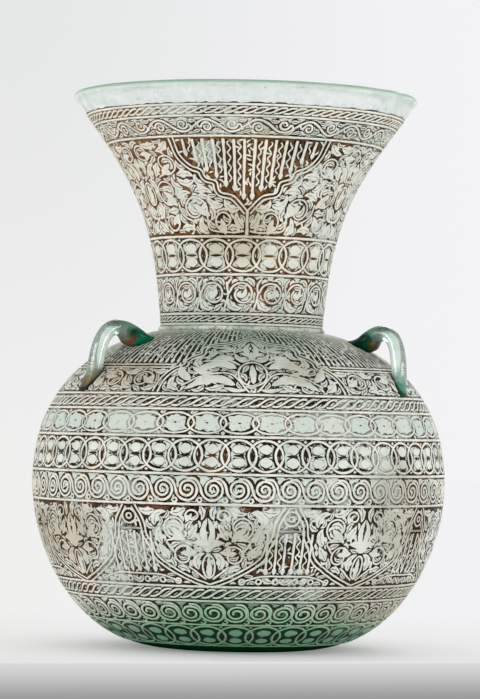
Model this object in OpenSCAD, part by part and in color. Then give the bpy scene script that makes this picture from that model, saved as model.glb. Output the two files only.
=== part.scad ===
// Glass mosque lamp, standing on its base.
// A blown globe and a flared neck meet under a glass thread. Three glass handles are laid
// on the shoulder. Enamel bands and raised lines are fired on the outside. An oil cup hangs
// by its lip in the neck, with a metal bridge that holds the wick.
// Millimetres, +Z up, origin at the centre of the standing ring.
// The front of the lamp faces -Y. Turns are seen from above, from -Y towards +X.

/* [Globe] */
// Widest outer radius of the globe
globe_r = 123; // [115:0.5:132]
// Height of the widest point
globe_z = 100; // [94:0.5:106]
// Outer radius of the ring that the lamp stands on
base_r = 41; // [38:0.5:46]
// Radius at which the pushed-up floor begins
kick_r = 34; // [28:0.5:36]
// Height of the pushed-up floor on the axis
kick_h = 9; // [5:0.5:13]
// Reach of the curve that leaves the standing ring
bowl_pull = 50; // [44:0.5:56]
// Reach of the lower curve below the widest point
belly_low = 49; // [42:0.5:54]
// Reach of the upper curve above the widest point
belly_up = 45; // [40:0.5:50]
// Reach of the shoulder where it runs in under the neck
shoulder_pull = 49; // [42:0.5:54]
// Slope of the shoulder where it meets the neck, in degrees
shoulder_slope = 11; // [8:0.5:16]

/* [Neck] */
// Height of the whole lamp
lamp_h = 330; // [315:0.5:345]
// Height of the joint between the globe and the neck
collar_z = 188.5; // [182:0.5:194]
// Outer radius of the neck at the joint
neck_r = 48; // [46:0.5:52]
// Outer radius of the mouth
mouth_r = 102.5; // [94:0.5:110]
// Reach of the neck's curve above the joint
neck_pull = 70; // [60:0.5:78]
// Reach of the neck's curve below the mouth
mouth_pull = 62; // [54:0.5:68]
// Lean of the neck's wall at the joint, in degrees from upright
neck_lean = 4; // [2:0.1:6]
// Lean of the neck's wall at the mouth, in degrees from upright
mouth_lean = 37; // [32:0.5:42]
// Diameter of the glass thread laid round the joint
thread_d = 3; // [2.6:0.1:3.6]
// Depth that the thread is sunk in the neck
thread_sink = 1.1; // [0.8:0.1:1.3]

/* [Glass] */
// Wall of the globe and of the neck
wall = 3.6; // [3:0.1:4.4]
// Glass at the floor of the globe
floor_t = 7; // [5:0.1:9]
// Height over which the floor thins to the wall
thinning_h = 45; // [30:1:60]

/* [Handles] */
// Turn of the left handle, in degrees
left_turn = -55; // [-66:1:-44]
// Turn of the right handle, in degrees
right_turn = 67; // [56:1:78]
// Turn of the back handle, in degrees
back_turn = 180; // [170:1:190]
// Turn of the left handle's tip from its tail, in degrees
left_skew = 6; // [-12:1:12]
// Turn of the right handle's tip from its tail, in degrees
right_skew = 12; // [-12:1:12]
// Turn of the back handle's tip from its tail, in degrees
back_skew = 8; // [-12:1:12]
// Thickness of the handle's rod
handle_d = 9.4; // [8:0.1:10.5]
// Distance of the handle's upper tip from the neck
handle_tip_out = 18.5; // [16:0.5:21]
// Distance of the handle's highest point in from its heel
handle_crown_in = 14.3; // [12:0.1:17]
// Height of the rod's middle over the shoulder at the highest point
handle_rise = 17; // [15:0.5:21]
// Length of the tail along the shoulder, from the heel to its end
handle_tail_l = 10.5; // [8:0.5:13]
// Height of the tail's end over the upper rope band
handle_tail_over = 0.5; // [0.2:0.1:3]

/* [Enamel] */
// Thickness of the painted enamel bands
enamel_t = 0.4; // [0.2:0.05:0.6]
// Width of the raised enamel lines
line_w = 1.8; // [1.2:0.1:2.4]
// Height of the raised enamel lines over the glass
line_h = 0.8; // [0.6:0.05:1.1]

/* [Bands of the neck] */
// Plain glass below the lip
neck_plain_h = 13.3; // [10:0.1:16]
// Upper rope band
neck_rope_upper_h = 6.1; // [5:0.1:8]
// Band of running scrolls
neck_scroll_h = 10.9; // [9:0.1:13]
// Band of linked rings
neck_chain_h = 22; // [18:0.1:26]
// Band of vines
neck_vine_h = 23; // [19:0.1:27]
// Lower rope band
neck_rope_lower_h = 5.9; // [5:0.1:8]
// Bare glass between the joint and the lower rope band
neck_bare_h = 3.6; // [3.6:0.1:5]

/* [Bands of the globe] */
// Height of the lowest raised line
foot_line_z = 6; // [4.5:0.1:8]
// Lower band of linked rings
globe_chain_lower_h = 13; // [11:0.1:15]
// Lower band of spirals
globe_spiral_lower_h = 14; // [12:0.1:16]
// Lower rope band
globe_rope_lower_h = 8.5; // [7:0.1:10]
// Band of medallions
globe_medallion_h = 46.5; // [42:0.1:50]
// Upper band of spirals
globe_spiral_upper_h = 17; // [15:0.1:19]
// Upper band of linked rings
globe_chain_upper_h = 21; // [19:0.1:23]
// Band of ovals
globe_oval_h = 15.3; // [13:0.1:17]
// Upper rope band
globe_rope_upper_h = 8.5; // [7:0.1:10]
// Bare glass on the shoulder, along the slope below the joint
shoulder_bare_w = 3; // [2.8:0.1:5]

/* [Oil cup] */
// Height of the cup's seat over the joint
cup_seat_h = 48; // [42:0.5:56]
// Depth of the cup below its seat
cup_depth = 78; // [68:0.5:88]
// Radius of the cup's base
cup_base_r = 24; // [20:0.5:28]
// Wall of the cup
cup_wall = 2.4; // [2:0.1:3]
// Floor of the cup
cup_floor_t = 4; // [3:0.1:6]
// Lean of the cup's wall at its lip, in degrees from upright
cup_flare = 45; // [36:1:54]
// Gap between the cup's lip and the neck
cup_fit = 0.3; // [0.2:0.05:0.5]

/* [Wick] */
// Bore of the wick tube
wick_bore_d = 6; // [5:0.1:7]
// Wall of the wick tube
tube_wall = 1; // [0.8:0.1:1.4]
// Gap between the wick and its tube, on the radius
wick_fit = 0.2; // [0.1:0.05:0.3]
// Height of the tube over the bridge
tube_stand_h = 8; // [5:0.5:12]
// Height of the tube's lower end over the cup's floor
tube_foot_h = 6; // [4:0.5:10]
// Length of wick over the tube
wick_tip_h = 6; // [4:0.5:9]
// Radius of the bridge's hub
hub_r = 11; // [9:0.5:13]
// Turn of the first bridge arm, in degrees
arm_turn = 30; // [0:5:115]
// Width of a bridge arm
arm_w = 6; // [5:0.5:8]
// Thickness of the bridge's sheet
bridge_t = 2; // [1.6:0.1:2.6]
// Length of the tabs that turn down inside the cup
tab_h = 6; // [4:0.5:8]
// Gap between the bridge and the cup
bridge_fit = 0.3; // [0.2:0.05:0.5]

/* [Hidden] */
$fn = 96;
curve_steps = 26;
lip_steps = 8;
line_steps = 8;
handle_sides = 16;
handle_steps = 12;
arm_count = 3;
glass_colour = "#bfd9d2";
handle_colour = "#4f9a7d";
ground_colour = "#7d5a34";
line_colour = "#e6e4d8";
bronze_colour = "#9a7a45";
cotton_colour = "#efe6d2";

// Curves and chains of points in the (radius, height) half plane

function bezier(p, t) =
    let (u = 1 - t)
    u * u * u * p[0] + 3 * u * u * t * p[1] + 3 * u * t * t * p[2] + t * t * t * p[3];

function curve(p, steps = curve_steps) = [for (i = [0 : steps]) bezier(p, i / steps)];

function polar(length, angle) = length * [cos(angle), sin(angle)];

function reversed(c) = [for (i = [len(c) - 1 : -1 : 0]) c[i]];

function without_first(c) = [for (i = [1 : len(c) - 1]) c[i]];

// Unit vectors to the left of a chain, which is the inside of the glass
function left_normals(c) = [
    for (i = [0 : len(c) - 1])
        let (d = c[min(len(c) - 1, i + 1)] - c[max(0, i - 1)])
        [-d[1], d[0]] / norm(d)
];

function set_off(c, distance) =
    let (n = left_normals(c))
    [for (i = [0 : len(c) - 1]) c[i] + n[i] * distance];

// Length along a chain up to each of its points
function lengths(c) = [
    for (i = 0, s = 0; i < len(c); s = s + (i + 1 < len(c) ? norm(c[i + 1] - c[i]) : 0), i = i + 1) s
];

function radius_at(c, z) = lookup(z, [for (p = c) [p[1], p[0]]]);

function height_at(c, r) = lookup(r, c);

function length_at(c, z) =
    let (s = lengths(c))
    lookup(z, [for (i = [0 : len(c) - 1]) [c[i][1], s[i]]]);

function point_at(c, s, length) = [
    for (k = [0, 1]) lookup(length, [for (i = [0 : len(c) - 1]) [s[i], c[i][k]]])
];

// The part of a chain between two lengths along it
function stretch(c, from, to) =
    let (s = lengths(c), tiny = 0.01)
    concat(
        [point_at(c, s, from)],
        [for (i = [0 : len(c) - 1]) if (s[i] > from + tiny && s[i] < to - tiny) c[i]],
        [point_at(c, s, to)]
    );

// A half-round end from the outer wall over to the inner wall, past the last point of a chain
function round_lip(c, thickness) =
    let (
        n = left_normals(c)[len(c) - 1],
        d = [n[1], -n[0]],
        middle = c[len(c) - 1] + n * thickness / 2
    )
    [
        for (i = [0 : lip_steps])
            let (a = 180 * i / lip_steps)
            middle + thickness / 2 * (d * sin(a) - n * cos(a))
    ];

// Outlines of the glass

lip_z = lamp_h - wall / 2 * (1 + sin(mouth_lean));
bore_r = neck_r - wall;
kick_curve = [[0, kick_h], [kick_r / 2, kick_h], [kick_r / 2, 0], [kick_r, 0]];
bowl_curve = [[base_r, 0], [base_r + bowl_pull, 0], [globe_r, globe_z - belly_low], [globe_r, globe_z]];
shoulder_curve = [
    [globe_r, globe_z],
    [globe_r, globe_z + belly_up],
    [neck_r, collar_z] + polar(shoulder_pull, -shoulder_slope),
    [neck_r, collar_z]
];
neck_curve = [
    [neck_r, collar_z],
    [neck_r, collar_z] + polar(neck_pull, 90 - neck_lean),
    [mouth_r, lip_z] - polar(mouth_pull, 90 - mouth_lean),
    [mouth_r, lip_z]
];

shoulder_outside = curve(shoulder_curve);
globe_outside = concat(curve(bowl_curve), without_first(shoulder_outside));
globe_underside = concat(curve(kick_curve), globe_outside);
neck_outside = curve(neck_curve);
neck_inside = concat([[bore_r, collar_z]], without_first(set_off(neck_outside, wall)));

function glass_at(z) =
    let (share = max(0, 1 - z / thinning_h))
    wall + (floor_t - wall) * share * share;

globe_inside =
    let (c = globe_underside, n = left_normals(c))
    [for (i = [0 : len(c) - 1]) c[i] + (i == 0 ? [0, 1] : n[i]) * glass_at(c[i][1])];

// Heights of the raised enamel lines, from the lowest up, which part the bands

function sums(start, steps) = [
    for (i = 0, z = start; i <= len(steps); z = z + (i < len(steps) ? steps[i] : 0), i = i + 1) z
];

neck_band_top = lamp_h - neck_plain_h;
neck_lines = concat(
    sums(collar_z + neck_bare_h, [neck_rope_lower_h, neck_vine_h, neck_chain_h]),
    sums(neck_band_top - neck_rope_upper_h - neck_scroll_h, [neck_scroll_h, neck_rope_upper_h])
);
globe_lines = sums(foot_line_z, [
    globe_chain_lower_h, globe_spiral_lower_h, globe_rope_lower_h, globe_medallion_h,
    globe_spiral_upper_h, globe_chain_upper_h, globe_oval_h, globe_rope_upper_h
]);
shoulder_top = lengths(globe_outside)[len(globe_outside) - 1] - shoulder_bare_w;

// Glass pieces

module globe()
    color(glass_colour)
    rotate_extrude()
    polygon(concat(
        globe_underside,
        [[bore_r, collar_z], [bore_r, collar_z - wall]],
        reversed(globe_inside)
    ));

module neck()
    color(glass_colour)
    rotate_extrude()
    polygon(concat(neck_outside, round_lip(neck_outside, wall), reversed(neck_inside)));

// The thread lies in the corner between the neck and the shoulder
module neck_thread()
    color(glass_colour)
    rotate_extrude()
    translate([neck_r + thread_d / 2 - thread_sink, collar_z + thread_sink])
    circle(d = thread_d, $fn = 48);

// Handles: a rod swept from the upper tip over the crown to the heel, then down the tail

function on_shoulder(r, over = 0) = [r, height_at(reversed(shoulder_outside), r) + over];

handle_tail_s = length_at(shoulder_outside, globe_lines[len(globe_lines) - 1] + handle_tail_over);
handle_tail_r = point_at(shoulder_outside, lengths(shoulder_outside), handle_tail_s)[0];
handle_heel_r = point_at(shoulder_outside, lengths(shoulder_outside), handle_tail_s + handle_tail_l)[0];
handle_tip = on_shoulder(neck_r + handle_tip_out, -handle_d * 0.05);
handle_crown = on_shoulder(handle_heel_r - handle_crown_in, handle_rise);
handle_heel = on_shoulder(handle_heel_r, handle_d * 0.4);
handle_tail = on_shoulder(handle_tail_r, handle_d * 0.05);
handle_climb = handle_crown - handle_tip;
handle_fall = handle_crown - handle_heel;
handle_run = handle_tail - handle_heel;
handle_path = concat(
    curve([
        handle_tip,
        handle_tip + [handle_climb[0] * 0.6, -handle_climb[1] * 0.5],
        handle_crown - [handle_climb[0] * 0.36, handle_climb[1] * 0.1],
        handle_crown
    ], handle_steps),
    without_first(curve([
        handle_crown,
        handle_crown + [-handle_fall[0] * 0.62, handle_climb[1] * 0.1],
        handle_heel + [handle_fall[0] * 0.1, handle_fall[1] * 0.7],
        handle_heel
    ], handle_steps)),
    without_first(curve([
        handle_heel,
        handle_heel - [handle_fall[0] * 0.02, handle_fall[1] * 0.14],
        handle_tail - handle_run * 0.35,
        handle_tail
    ], handle_steps))
);
// Share of the path, then the rod above, below and beside its middle, as shares of its thickness
handle_sections = [
    [0, 0.14, 0.16, 0.5], [0.06, 0.38, 0.45, 0.82], [0.13, 0.54, 0.75, 0.98], [0.2, 0.55, 0.85, 0.92],
    [0.27, 0.52, 0.7, 0.72], [0.36, 0.5, 0.5, 0.56], [0.5, 0.49, 0.49, 0.51], [0.66, 0.5, 0.5, 0.56],
    [0.84, 0.4, 0.36, 0.62], [1, 0.12, 0.12, 0.4]
];

function section_at(share, column) =
    handle_d * lookup(share, [for (row = handle_sections) [row[0], row[column]]]);

// The tip is turned from the tail by skew, shared out along the path
module handle(turn, skew) {
    rings = len(handle_path);
    normals = left_normals(handle_path);
    points = [
        for (i = [0 : rings - 1], j = [0 : handle_sides - 1])
            let (
                share = i / (rings - 1),
                angle = 360 * j / handle_sides,
                over = section_at(share, cos(angle) > 0 ? 1 : 2) * cos(angle),
                place = handle_path[i] + normals[i] * over,
                aside = section_at(share, 3) * sin(angle),
                lean = skew * (0.5 - share)
            )
            [place[0] * cos(lean) - aside * sin(lean), place[0] * sin(lean) + aside * cos(lean), place[1]]
    ];
    sides = [
        for (i = [0 : rings - 2], j = [0 : handle_sides - 1])
            let (
                a = i * handle_sides + j,
                b = i * handle_sides + (j + 1) % handle_sides,
                c = a + handle_sides,
                d = b + handle_sides
            )
            each [[a, c, b], [b, c, d]]
    ];
    ends = [
        [for (j = [0 : handle_sides - 1]) j],
        [for (j = [handle_sides - 1 : -1 : 0]) (rings - 1) * handle_sides + j]
    ];
    color(handle_colour)
    rotate([0, 0, turn - 90])
    polyhedron(points, concat(sides, ends));
}

module handle_left() handle(left_turn, left_skew);
module handle_right() handle(right_turn, right_skew);
module handle_back() handle(back_turn, back_skew);

// Enamel: painted bands between raised lines

module painted_band(c, from, to) {
    glass = stretch(c, from + line_w / 2, to - line_w / 2);
    color(ground_colour)
    rotate_extrude()
    polygon(concat(glass, reversed(set_off(glass, -enamel_t))));
}

module band_between(c, low, high) painted_band(c, length_at(c, low), length_at(c, high));
module neck_band(i) band_between(neck_outside, neck_lines[i], neck_lines[i + 1]);
module globe_band(i) band_between(globe_outside, globe_lines[i], globe_lines[i + 1]);

// A half-oval bead laid on the glass at a height of the chain
module raised_line(c, z) {
    s = length_at(c, z);
    glass = stretch(c, s - line_w / 2, s + line_w / 2);
    first = glass[0];
    last = glass[len(glass) - 1];
    along = (last - first) / 2;
    out = [along[1], -along[0]] / norm(along) * line_h;
    bead = [
        for (i = [1 : line_steps - 1])
            let (a = 180 * i / line_steps)
            (first + last) / 2 + along * cos(a) + out * sin(a)
    ];
    color(line_colour)
    rotate_extrude()
    polygon(concat(glass, bead));
}

module neck_rope_lower() neck_band(0);
module neck_vine_band() neck_band(1);
module neck_ring_chain() neck_band(2);
module neck_medallion_band() neck_band(3);
module neck_scroll_band() neck_band(4);
module neck_rope_upper() neck_band(5);
module neck_raised_lines() for (z = neck_lines) raised_line(neck_outside, z);

module globe_ring_chain_lower() globe_band(0);
module globe_spiral_lower() globe_band(1);
module globe_rope_lower() globe_band(2);
module globe_medallion_band() globe_band(3);
module globe_spiral_upper() globe_band(4);
module globe_ring_chain_upper() globe_band(5);
module globe_oval_band() globe_band(6);
module globe_rope_upper() globe_band(7);
module shoulder_medallion_band()
    painted_band(globe_outside, length_at(globe_outside, globe_lines[len(globe_lines) - 1]), shoulder_top);
module globe_raised_lines() for (z = globe_lines) raised_line(globe_outside, z);

// Oil cup: a beaker that hangs by its lip where the neck narrows

cup_seat_z = collar_z + cup_seat_h;
cup_base_z = cup_seat_z - cup_depth;
// The lip's round edge bulges over the seat and lies a gap inside the neck
cup_bulge = cup_wall / 2 * [1 - cos(cup_flare), sin(cup_flare)];
cup_lip_r = radius_at(neck_inside, cup_seat_z + cup_bulge[1]) - cup_fit - cup_bulge[0];
cup_outside = curve([
    [cup_base_r, cup_base_z],
    [cup_base_r, cup_base_z] + cup_depth * [0.1, 0.45],
    [cup_lip_r, cup_seat_z] - polar(cup_depth * 0.28, 90 - cup_flare),
    [cup_lip_r, cup_seat_z]
]);
cup_lip = round_lip(cup_outside, cup_wall);
cup_top_z = max([for (p = cup_lip) p[1]]);
cup_floor_z = cup_base_z + cup_floor_t;
cup_inside = [for (p = set_off(cup_outside, cup_wall)) if (p[1] > cup_floor_z) p];

module oil_cup()
    color(glass_colour)
    rotate_extrude()
    polygon(concat(
        [[0, cup_base_z]],
        cup_outside,
        cup_lip,
        reversed(cup_inside),
        [[cup_inside[0][0], cup_floor_z], [0, cup_floor_z]]
    ));

// Wick bridge: a hub and arms that lie on the cup's lip, with tabs that turn down inside it

bridge_z = cup_top_z + bridge_fit;
tube_r = wick_bore_d / 2 + tube_wall;
tube_top_z = bridge_z + bridge_t + tube_stand_h;
tube_foot_z = cup_floor_z + tube_foot_h;
tab_low_z = bridge_z - tab_h;
// The tabs' outer corners stay a gap inside the narrowest part of the cup that they reach
tab_r = sqrt(pow(radius_at(cup_inside, tab_low_z) - bridge_fit, 2) - pow(arm_w / 2, 2));
arm_end_r = max([for (p = cup_lip) p[0]]) - cup_wall;

module wick_bridge()
    color(bronze_colour)
    difference() {
        union() {
            translate([0, 0, bridge_z]) cylinder(r = hub_r, h = bridge_t);
            for (i = [0 : arm_count - 1])
                rotate([0, 0, 360 * i / arm_count + arm_turn]) {
                    translate([0, -arm_w / 2, bridge_z]) cube([arm_end_r, arm_w, bridge_t]);
                    translate([tab_r - bridge_t, -arm_w / 2, tab_low_z])
                        cube([bridge_t, arm_w, tab_h + bridge_t / 2]);
                }
        }
        translate([0, 0, bridge_z - bridge_t]) cylinder(r = tube_r, h = 3 * bridge_t);
    }

module wick_tube()
    color(bronze_colour)
    translate([0, 0, tube_foot_z])
    difference() {
        cylinder(r = tube_r, h = tube_top_z - tube_foot_z);
        translate([0, 0, -1]) cylinder(d = wick_bore_d, h = tube_top_z - tube_foot_z + 2);
    }

module wick() {
    wick_r = wick_bore_d / 2 - wick_fit;
    wick_top_z = tube_top_z + wick_tip_h;
    color(cotton_colour)
    rotate_extrude()
    polygon([
        [0, tube_foot_z],
        [wick_r, tube_foot_z],
        [wick_r, wick_top_z - wick_r],
        [wick_r * 0.7, wick_top_z - wick_r * 0.3],
        [0, wick_top_z]
    ]);
}

globe();
neck();
neck_thread();
handle_left();
handle_right();
handle_back();
neck_rope_upper();
neck_scroll_band();
neck_medallion_band();
neck_ring_chain();
neck_vine_band();
neck_rope_lower();
neck_raised_lines();
shoulder_medallion_band();
globe_rope_upper();
globe_oval_band();
globe_ring_chain_upper();
globe_spiral_upper();
globe_medallion_band();
globe_rope_lower();
globe_spiral_lower();
globe_ring_chain_lower();
globe_raised_lines();
oil_cup();
wick_bridge();
wick_tube();
wick();
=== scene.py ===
"""Enamelled glass mosque lamp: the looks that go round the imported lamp."""

import math

import bmesh
import bpy
import numpy as np
from bpy.props import FloatProperty, FloatVectorProperty, IntProperty, PointerProperty
from bpy.types import Operator, Panel, PropertyGroup
from mathutils import Matrix, Vector


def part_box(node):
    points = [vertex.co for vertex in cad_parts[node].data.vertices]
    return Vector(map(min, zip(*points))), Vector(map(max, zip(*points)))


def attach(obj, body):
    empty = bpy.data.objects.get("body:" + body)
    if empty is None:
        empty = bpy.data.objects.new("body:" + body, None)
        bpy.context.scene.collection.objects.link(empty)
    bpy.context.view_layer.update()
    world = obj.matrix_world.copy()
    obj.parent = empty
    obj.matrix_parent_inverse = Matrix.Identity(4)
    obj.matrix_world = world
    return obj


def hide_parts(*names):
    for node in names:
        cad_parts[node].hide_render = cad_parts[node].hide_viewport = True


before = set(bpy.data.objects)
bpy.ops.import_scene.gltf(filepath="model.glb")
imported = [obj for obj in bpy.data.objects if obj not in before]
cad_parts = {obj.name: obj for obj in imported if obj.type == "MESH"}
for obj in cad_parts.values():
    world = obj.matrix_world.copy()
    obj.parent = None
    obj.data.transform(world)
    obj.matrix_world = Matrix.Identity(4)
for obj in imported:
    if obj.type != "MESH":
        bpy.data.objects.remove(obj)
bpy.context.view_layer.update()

bl_info = {
    "name": "Enamelled Mosque Lamp",
    "version": (1, 0, 0),
    "blender": (4, 5, 0),
    "location": "View3D > Sidebar > Mosque Lamp",
    "description": "Blown glass, fired enamel bands and the hanging oil light of a mosque lamp",
    "category": "Add Mesh",
}

MM = 0.001
TAU = 2 * math.pi
# Faces round the lamp in a turned piece or a ground
AROUND = 192
# Spacing of the points along a wall
WALL_STEP = 1.5 * MM
# What counts as on the axis of the lamp
ON_AXIS = 0.05 * MM
# The two layers of strokes in a band, with their slots
LAYERS = (("outline", "enamel_ground"), ("relief", "enamel_white"))


def srgb(red, green, blue):
    """A colour given in screen values from 0 to 255, as linear red, green, blue and alpha."""
    linear = []
    for value in (red / 255, green / 255, blue / 255):
        linear.append(value / 12.92 if value <= 0.04045 else ((value + 0.055) / 1.055) ** 2.4)
    return (*linear, 1.0)


# Node trees


class Wire:
    """One output of a node. Sums and products of wires add Math nodes to the same tree."""

    def __init__(self, graph, socket):
        self.graph = graph
        self.socket = socket

    def out(self, name):
        """Another output of the same node."""
        return Wire(self.graph, self.socket.node.outputs[name])

    def math(self, operation, *others):
        values = dict(enumerate((self, *others)))
        return self.graph.node("ShaderNodeMath", {"operation": operation}, values)

    def reflected(self, operation, other):
        return self.graph.node("ShaderNodeMath", {"operation": operation}, {0: other, 1: self})

    def __add__(self, other):
        return self.math("ADD", other)

    def __radd__(self, other):
        return self.reflected("ADD", other)

    def __sub__(self, other):
        return self.math("SUBTRACT", other)

    def __rsub__(self, other):
        return self.reflected("SUBTRACT", other)

    def __mul__(self, other):
        return self.math("MULTIPLY", other)

    def __rmul__(self, other):
        return self.reflected("MULTIPLY", other)

    def __truediv__(self, other):
        return self.math("DIVIDE", other)

    def __gt__(self, other):
        return self.math("GREATER_THAN", other)


class Graph:
    """A node tree that grows by one node for each call."""

    def __init__(self, tree):
        self.tree = tree

    def node(self, kind, settings=None, inputs=None, output=0):
        """Adds a node, sets its settings first, then the values or links of its sockets."""
        made = self.tree.nodes.new(kind)
        for name, value in (settings or {}).items():
            setattr(made, name, value)
        for key, value in (inputs or {}).items():
            for item in value if isinstance(value, list) else [value]:
                if isinstance(item, Wire):
                    self.tree.links.new(item.socket, made.inputs[key])
                else:
                    made.inputs[key].default_value = item
        return Wire(self, made.outputs[output])

    def split(self, vector):
        """The x, y and z wires of a vector wire."""
        parts = self.node("ShaderNodeSeparateXYZ", None, {0: vector})
        return parts, parts.out("Y"), parts.out("Z")

    def join(self, x=0.0, y=0.0, z=0.0):
        """A vector wire from three values or wires."""
        return self.node("ShaderNodeCombineXYZ", None, {0: x, 1: y, 2: z})

    def scaled(self, vector, factor):
        """A vector wire times a number or value wire."""
        inputs = {0: vector, "Scale": factor}
        return self.node("ShaderNodeVectorMath", {"operation": "SCALE"}, inputs)

    def moved(self, vector, shift):
        """A vector wire plus a fixed vector or a vector wire."""
        return self.node("ShaderNodeVectorMath", {"operation": "ADD"}, {0: vector, 1: shift})

    def noise(self, vector, scale, detail=2.0, roughness=0.5, output=0):
        """A noise value, or its colour with output 1, read at a vector wire."""
        inputs = {"Vector": vector, "Scale": scale, "Detail": detail, "Roughness": roughness}
        return self.node("ShaderNodeTexNoise", None, inputs, output)

    def ease(self, value, low, high):
        """A smooth step from 0 at low to 1 at high."""
        settings = {"interpolation_type": "SMOOTHSTEP"}
        inputs = {"Value": value, "From Min": low, "From Max": high}
        return self.node("ShaderNodeMapRange", settings, inputs)

    def between(self, value, low, low_full, high_full, high):
        """1 between two values, with a smooth step down to 0 on both sides."""
        return self.ease(value, low, low_full) * self.ease(value, high, high_full)

    def shape(self, holder):
        """The geometry of an object wire."""
        return self.node("GeometryNodeObjectInfo", None, {"Object": holder}, "Geometry")

    def real(self, copies):
        """Plain geometry from a wire that may hold instances."""
        return self.node("GeometryNodeRealizeInstances", None, {0: copies})

    def mix(self, factor, first, second):
        """A colour between two colours or colour wires."""
        inputs = {0: factor, 6: first, 7: second}
        return self.node("ShaderNodeMix", {"data_type": "RGBA"}, inputs, 2)

    def layered(self, shade, *layers):
        """A colour with further colours laid over it in turn, each by its own factor."""
        for factor, colour in layers:
            shade = self.mix(factor, shade, colour)
        return shade


# Sizes and colours that a user would change


class LampEnamelSettings(PropertyGroup):
    """Widths, heights and colours of the fired enamel."""

    line_width: FloatProperty(
        name="Line Width", description="Width of a pale enamel line", default=1.25 * MM, subtype="DISTANCE")
    outline_width: FloatProperty(
        name="Outline Width", description="Brown enamel that shows beside a pale line",
        default=0.86 * MM, subtype="DISTANCE")
    border_width: FloatProperty(
        name="Border Width", description="Width of the raised lines between bands",
        default=1.6 * MM, subtype="DISTANCE")
    ground_rise: FloatProperty(
        name="Ground Rise", description="Height of the thin ground over the glass",
        default=0.22 * MM, subtype="DISTANCE")
    outline_rise: FloatProperty(
        name="Outline Rise", description="Height of the middle of a brown stroke over the glass",
        default=0.235 * MM, subtype="DISTANCE")
    line_rise: FloatProperty(
        name="Line Rise", description="Height of the middle of a pale line over the glass",
        default=0.26 * MM, subtype="DISTANCE")
    wobble: FloatProperty(
        name="Hand Wobble", description="How far the brush strays from the drawn line",
        default=0.32 * MM, subtype="DISTANCE")
    seed: IntProperty(name="Seed", description="Start of the random draws", default=7)
    pale: FloatVectorProperty(
        name="Pale Enamel", description="Colour of the raised lines", size=4, subtype="COLOR",
        default=srgb(230, 227, 214))
    leaf: FloatVectorProperty(
        name="Leaf Enamel", description="Colour of the flat leaves", size=4, subtype="COLOR",
        default=srgb(216, 219, 210))
    brown: FloatVectorProperty(
        name="Brown Enamel", description="Colour of the outlines", size=4, subtype="COLOR",
        default=srgb(30, 19, 10))
    # Also painted light: the brown turns to this gold on the left side of the lamp
    gold: FloatVectorProperty(
        name="Gold Brown", description="Colour of the outlines where they are thin", size=4,
        subtype="COLOR", default=srgb(122, 82, 40))
    ground: FloatVectorProperty(
        name="Ground", description="Colour of the worn ground", size=4, subtype="COLOR",
        default=srgb(206, 212, 202))


class LampGlassSettings(PropertyGroup):
    """Tints of the blown glass."""

    rim: FloatVectorProperty(
        name="Rim Glass", description="Tint of the plain rim", size=4, subtype="COLOR",
        default=srgb(242, 248, 245))
    base: FloatVectorProperty(
        name="Base Glass", description="Tint of the thick base", size=4, subtype="COLOR",
        default=srgb(3, 62, 28))
    handle: FloatVectorProperty(
        name="Handle Glass", description="Tint of the handles", size=4, subtype="COLOR",
        default=srgb(226, 240, 232))
    pad: FloatVectorProperty(
        name="Handle Pad", description="Tint of the thick pads of the handles", size=4, subtype="COLOR",
        default=srgb(8, 50, 32))
    roughness: FloatProperty(
        name="Roughness", description="Roughness of the glass", default=0.06, subtype="FACTOR")


class LampStageSettings(PropertyGroup):
    """Floor, backdrop and lights."""

    floor: FloatVectorProperty(
        name="Floor", description="Colour of the floor", size=4, subtype="COLOR", default=srgb(233, 233, 231))
    backdrop_left: FloatVectorProperty(
        name="Backdrop Left", description="Colour behind the lamp at its upper left", size=4, subtype="COLOR",
        default=srgb(230, 231, 231))
    backdrop_right: FloatVectorProperty(
        name="Backdrop Right", description="Colour behind the lamp at its right", size=4, subtype="COLOR",
        default=srgb(243, 243, 246))
    backdrop_low: FloatVectorProperty(
        name="Backdrop Low", description="Colour behind the lamp at its lower left", size=4, subtype="COLOR",
        default=srgb(241, 241, 240))
    # Painted shade: the darkest colour low on the front face of the floor
    edge: FloatVectorProperty(
        name="Floor Edge", description="Colour low on the front face of the floor", size=4, subtype="COLOR",
        default=srgb(150, 150, 151))
    sky: FloatProperty(name="Sky Light", description="Strength of the even light", default=0.45)
    key: FloatProperty(
        name="Key Light", description="Power of the main soft light", default=42.2, unit="POWER")
    fill: FloatProperty(
        name="Fill Light", description="Power of the second soft light", default=38.4, unit="POWER")
    back: FloatProperty(
        name="Back Light", description="Power of the weak light behind the lamp", default=20.0, unit="POWER")


# Walls read from the frame


def smooth_path(points, step):
    """A smooth path through the points, sampled about every step."""
    points = np.asarray(points, float)
    padded = np.vstack([2 * points[0] - points[1], points, 2 * points[-1] - points[-2]])
    rows = []
    for a, b, c, d in zip(padded, padded[1:], padded[2:], padded[3:]):
        count = max(1, round(float(np.linalg.norm(c - b)) / step))
        t = np.arange(count)[:, None] / count
        bend = (2 * a - 5 * b + 4 * c - d) * t**2 + (3 * b - a - 3 * c + d) * t**3
        rows.append(0.5 * (2 * b + (c - a) * t + bend))
    return np.vstack([*rows, points[-1:]])


def even_path(points, step):
    """The same path with points about every step along it."""
    points = np.asarray(points, float)
    lengths = np.concatenate([[0], np.cumsum(np.linalg.norm(np.diff(points, axis=0), axis=1))])
    along = np.linspace(0, lengths[-1], max(3, round(lengths[-1] / step) + 1))
    return np.column_stack([np.interp(along, lengths, column) for column in points.T])


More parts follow.
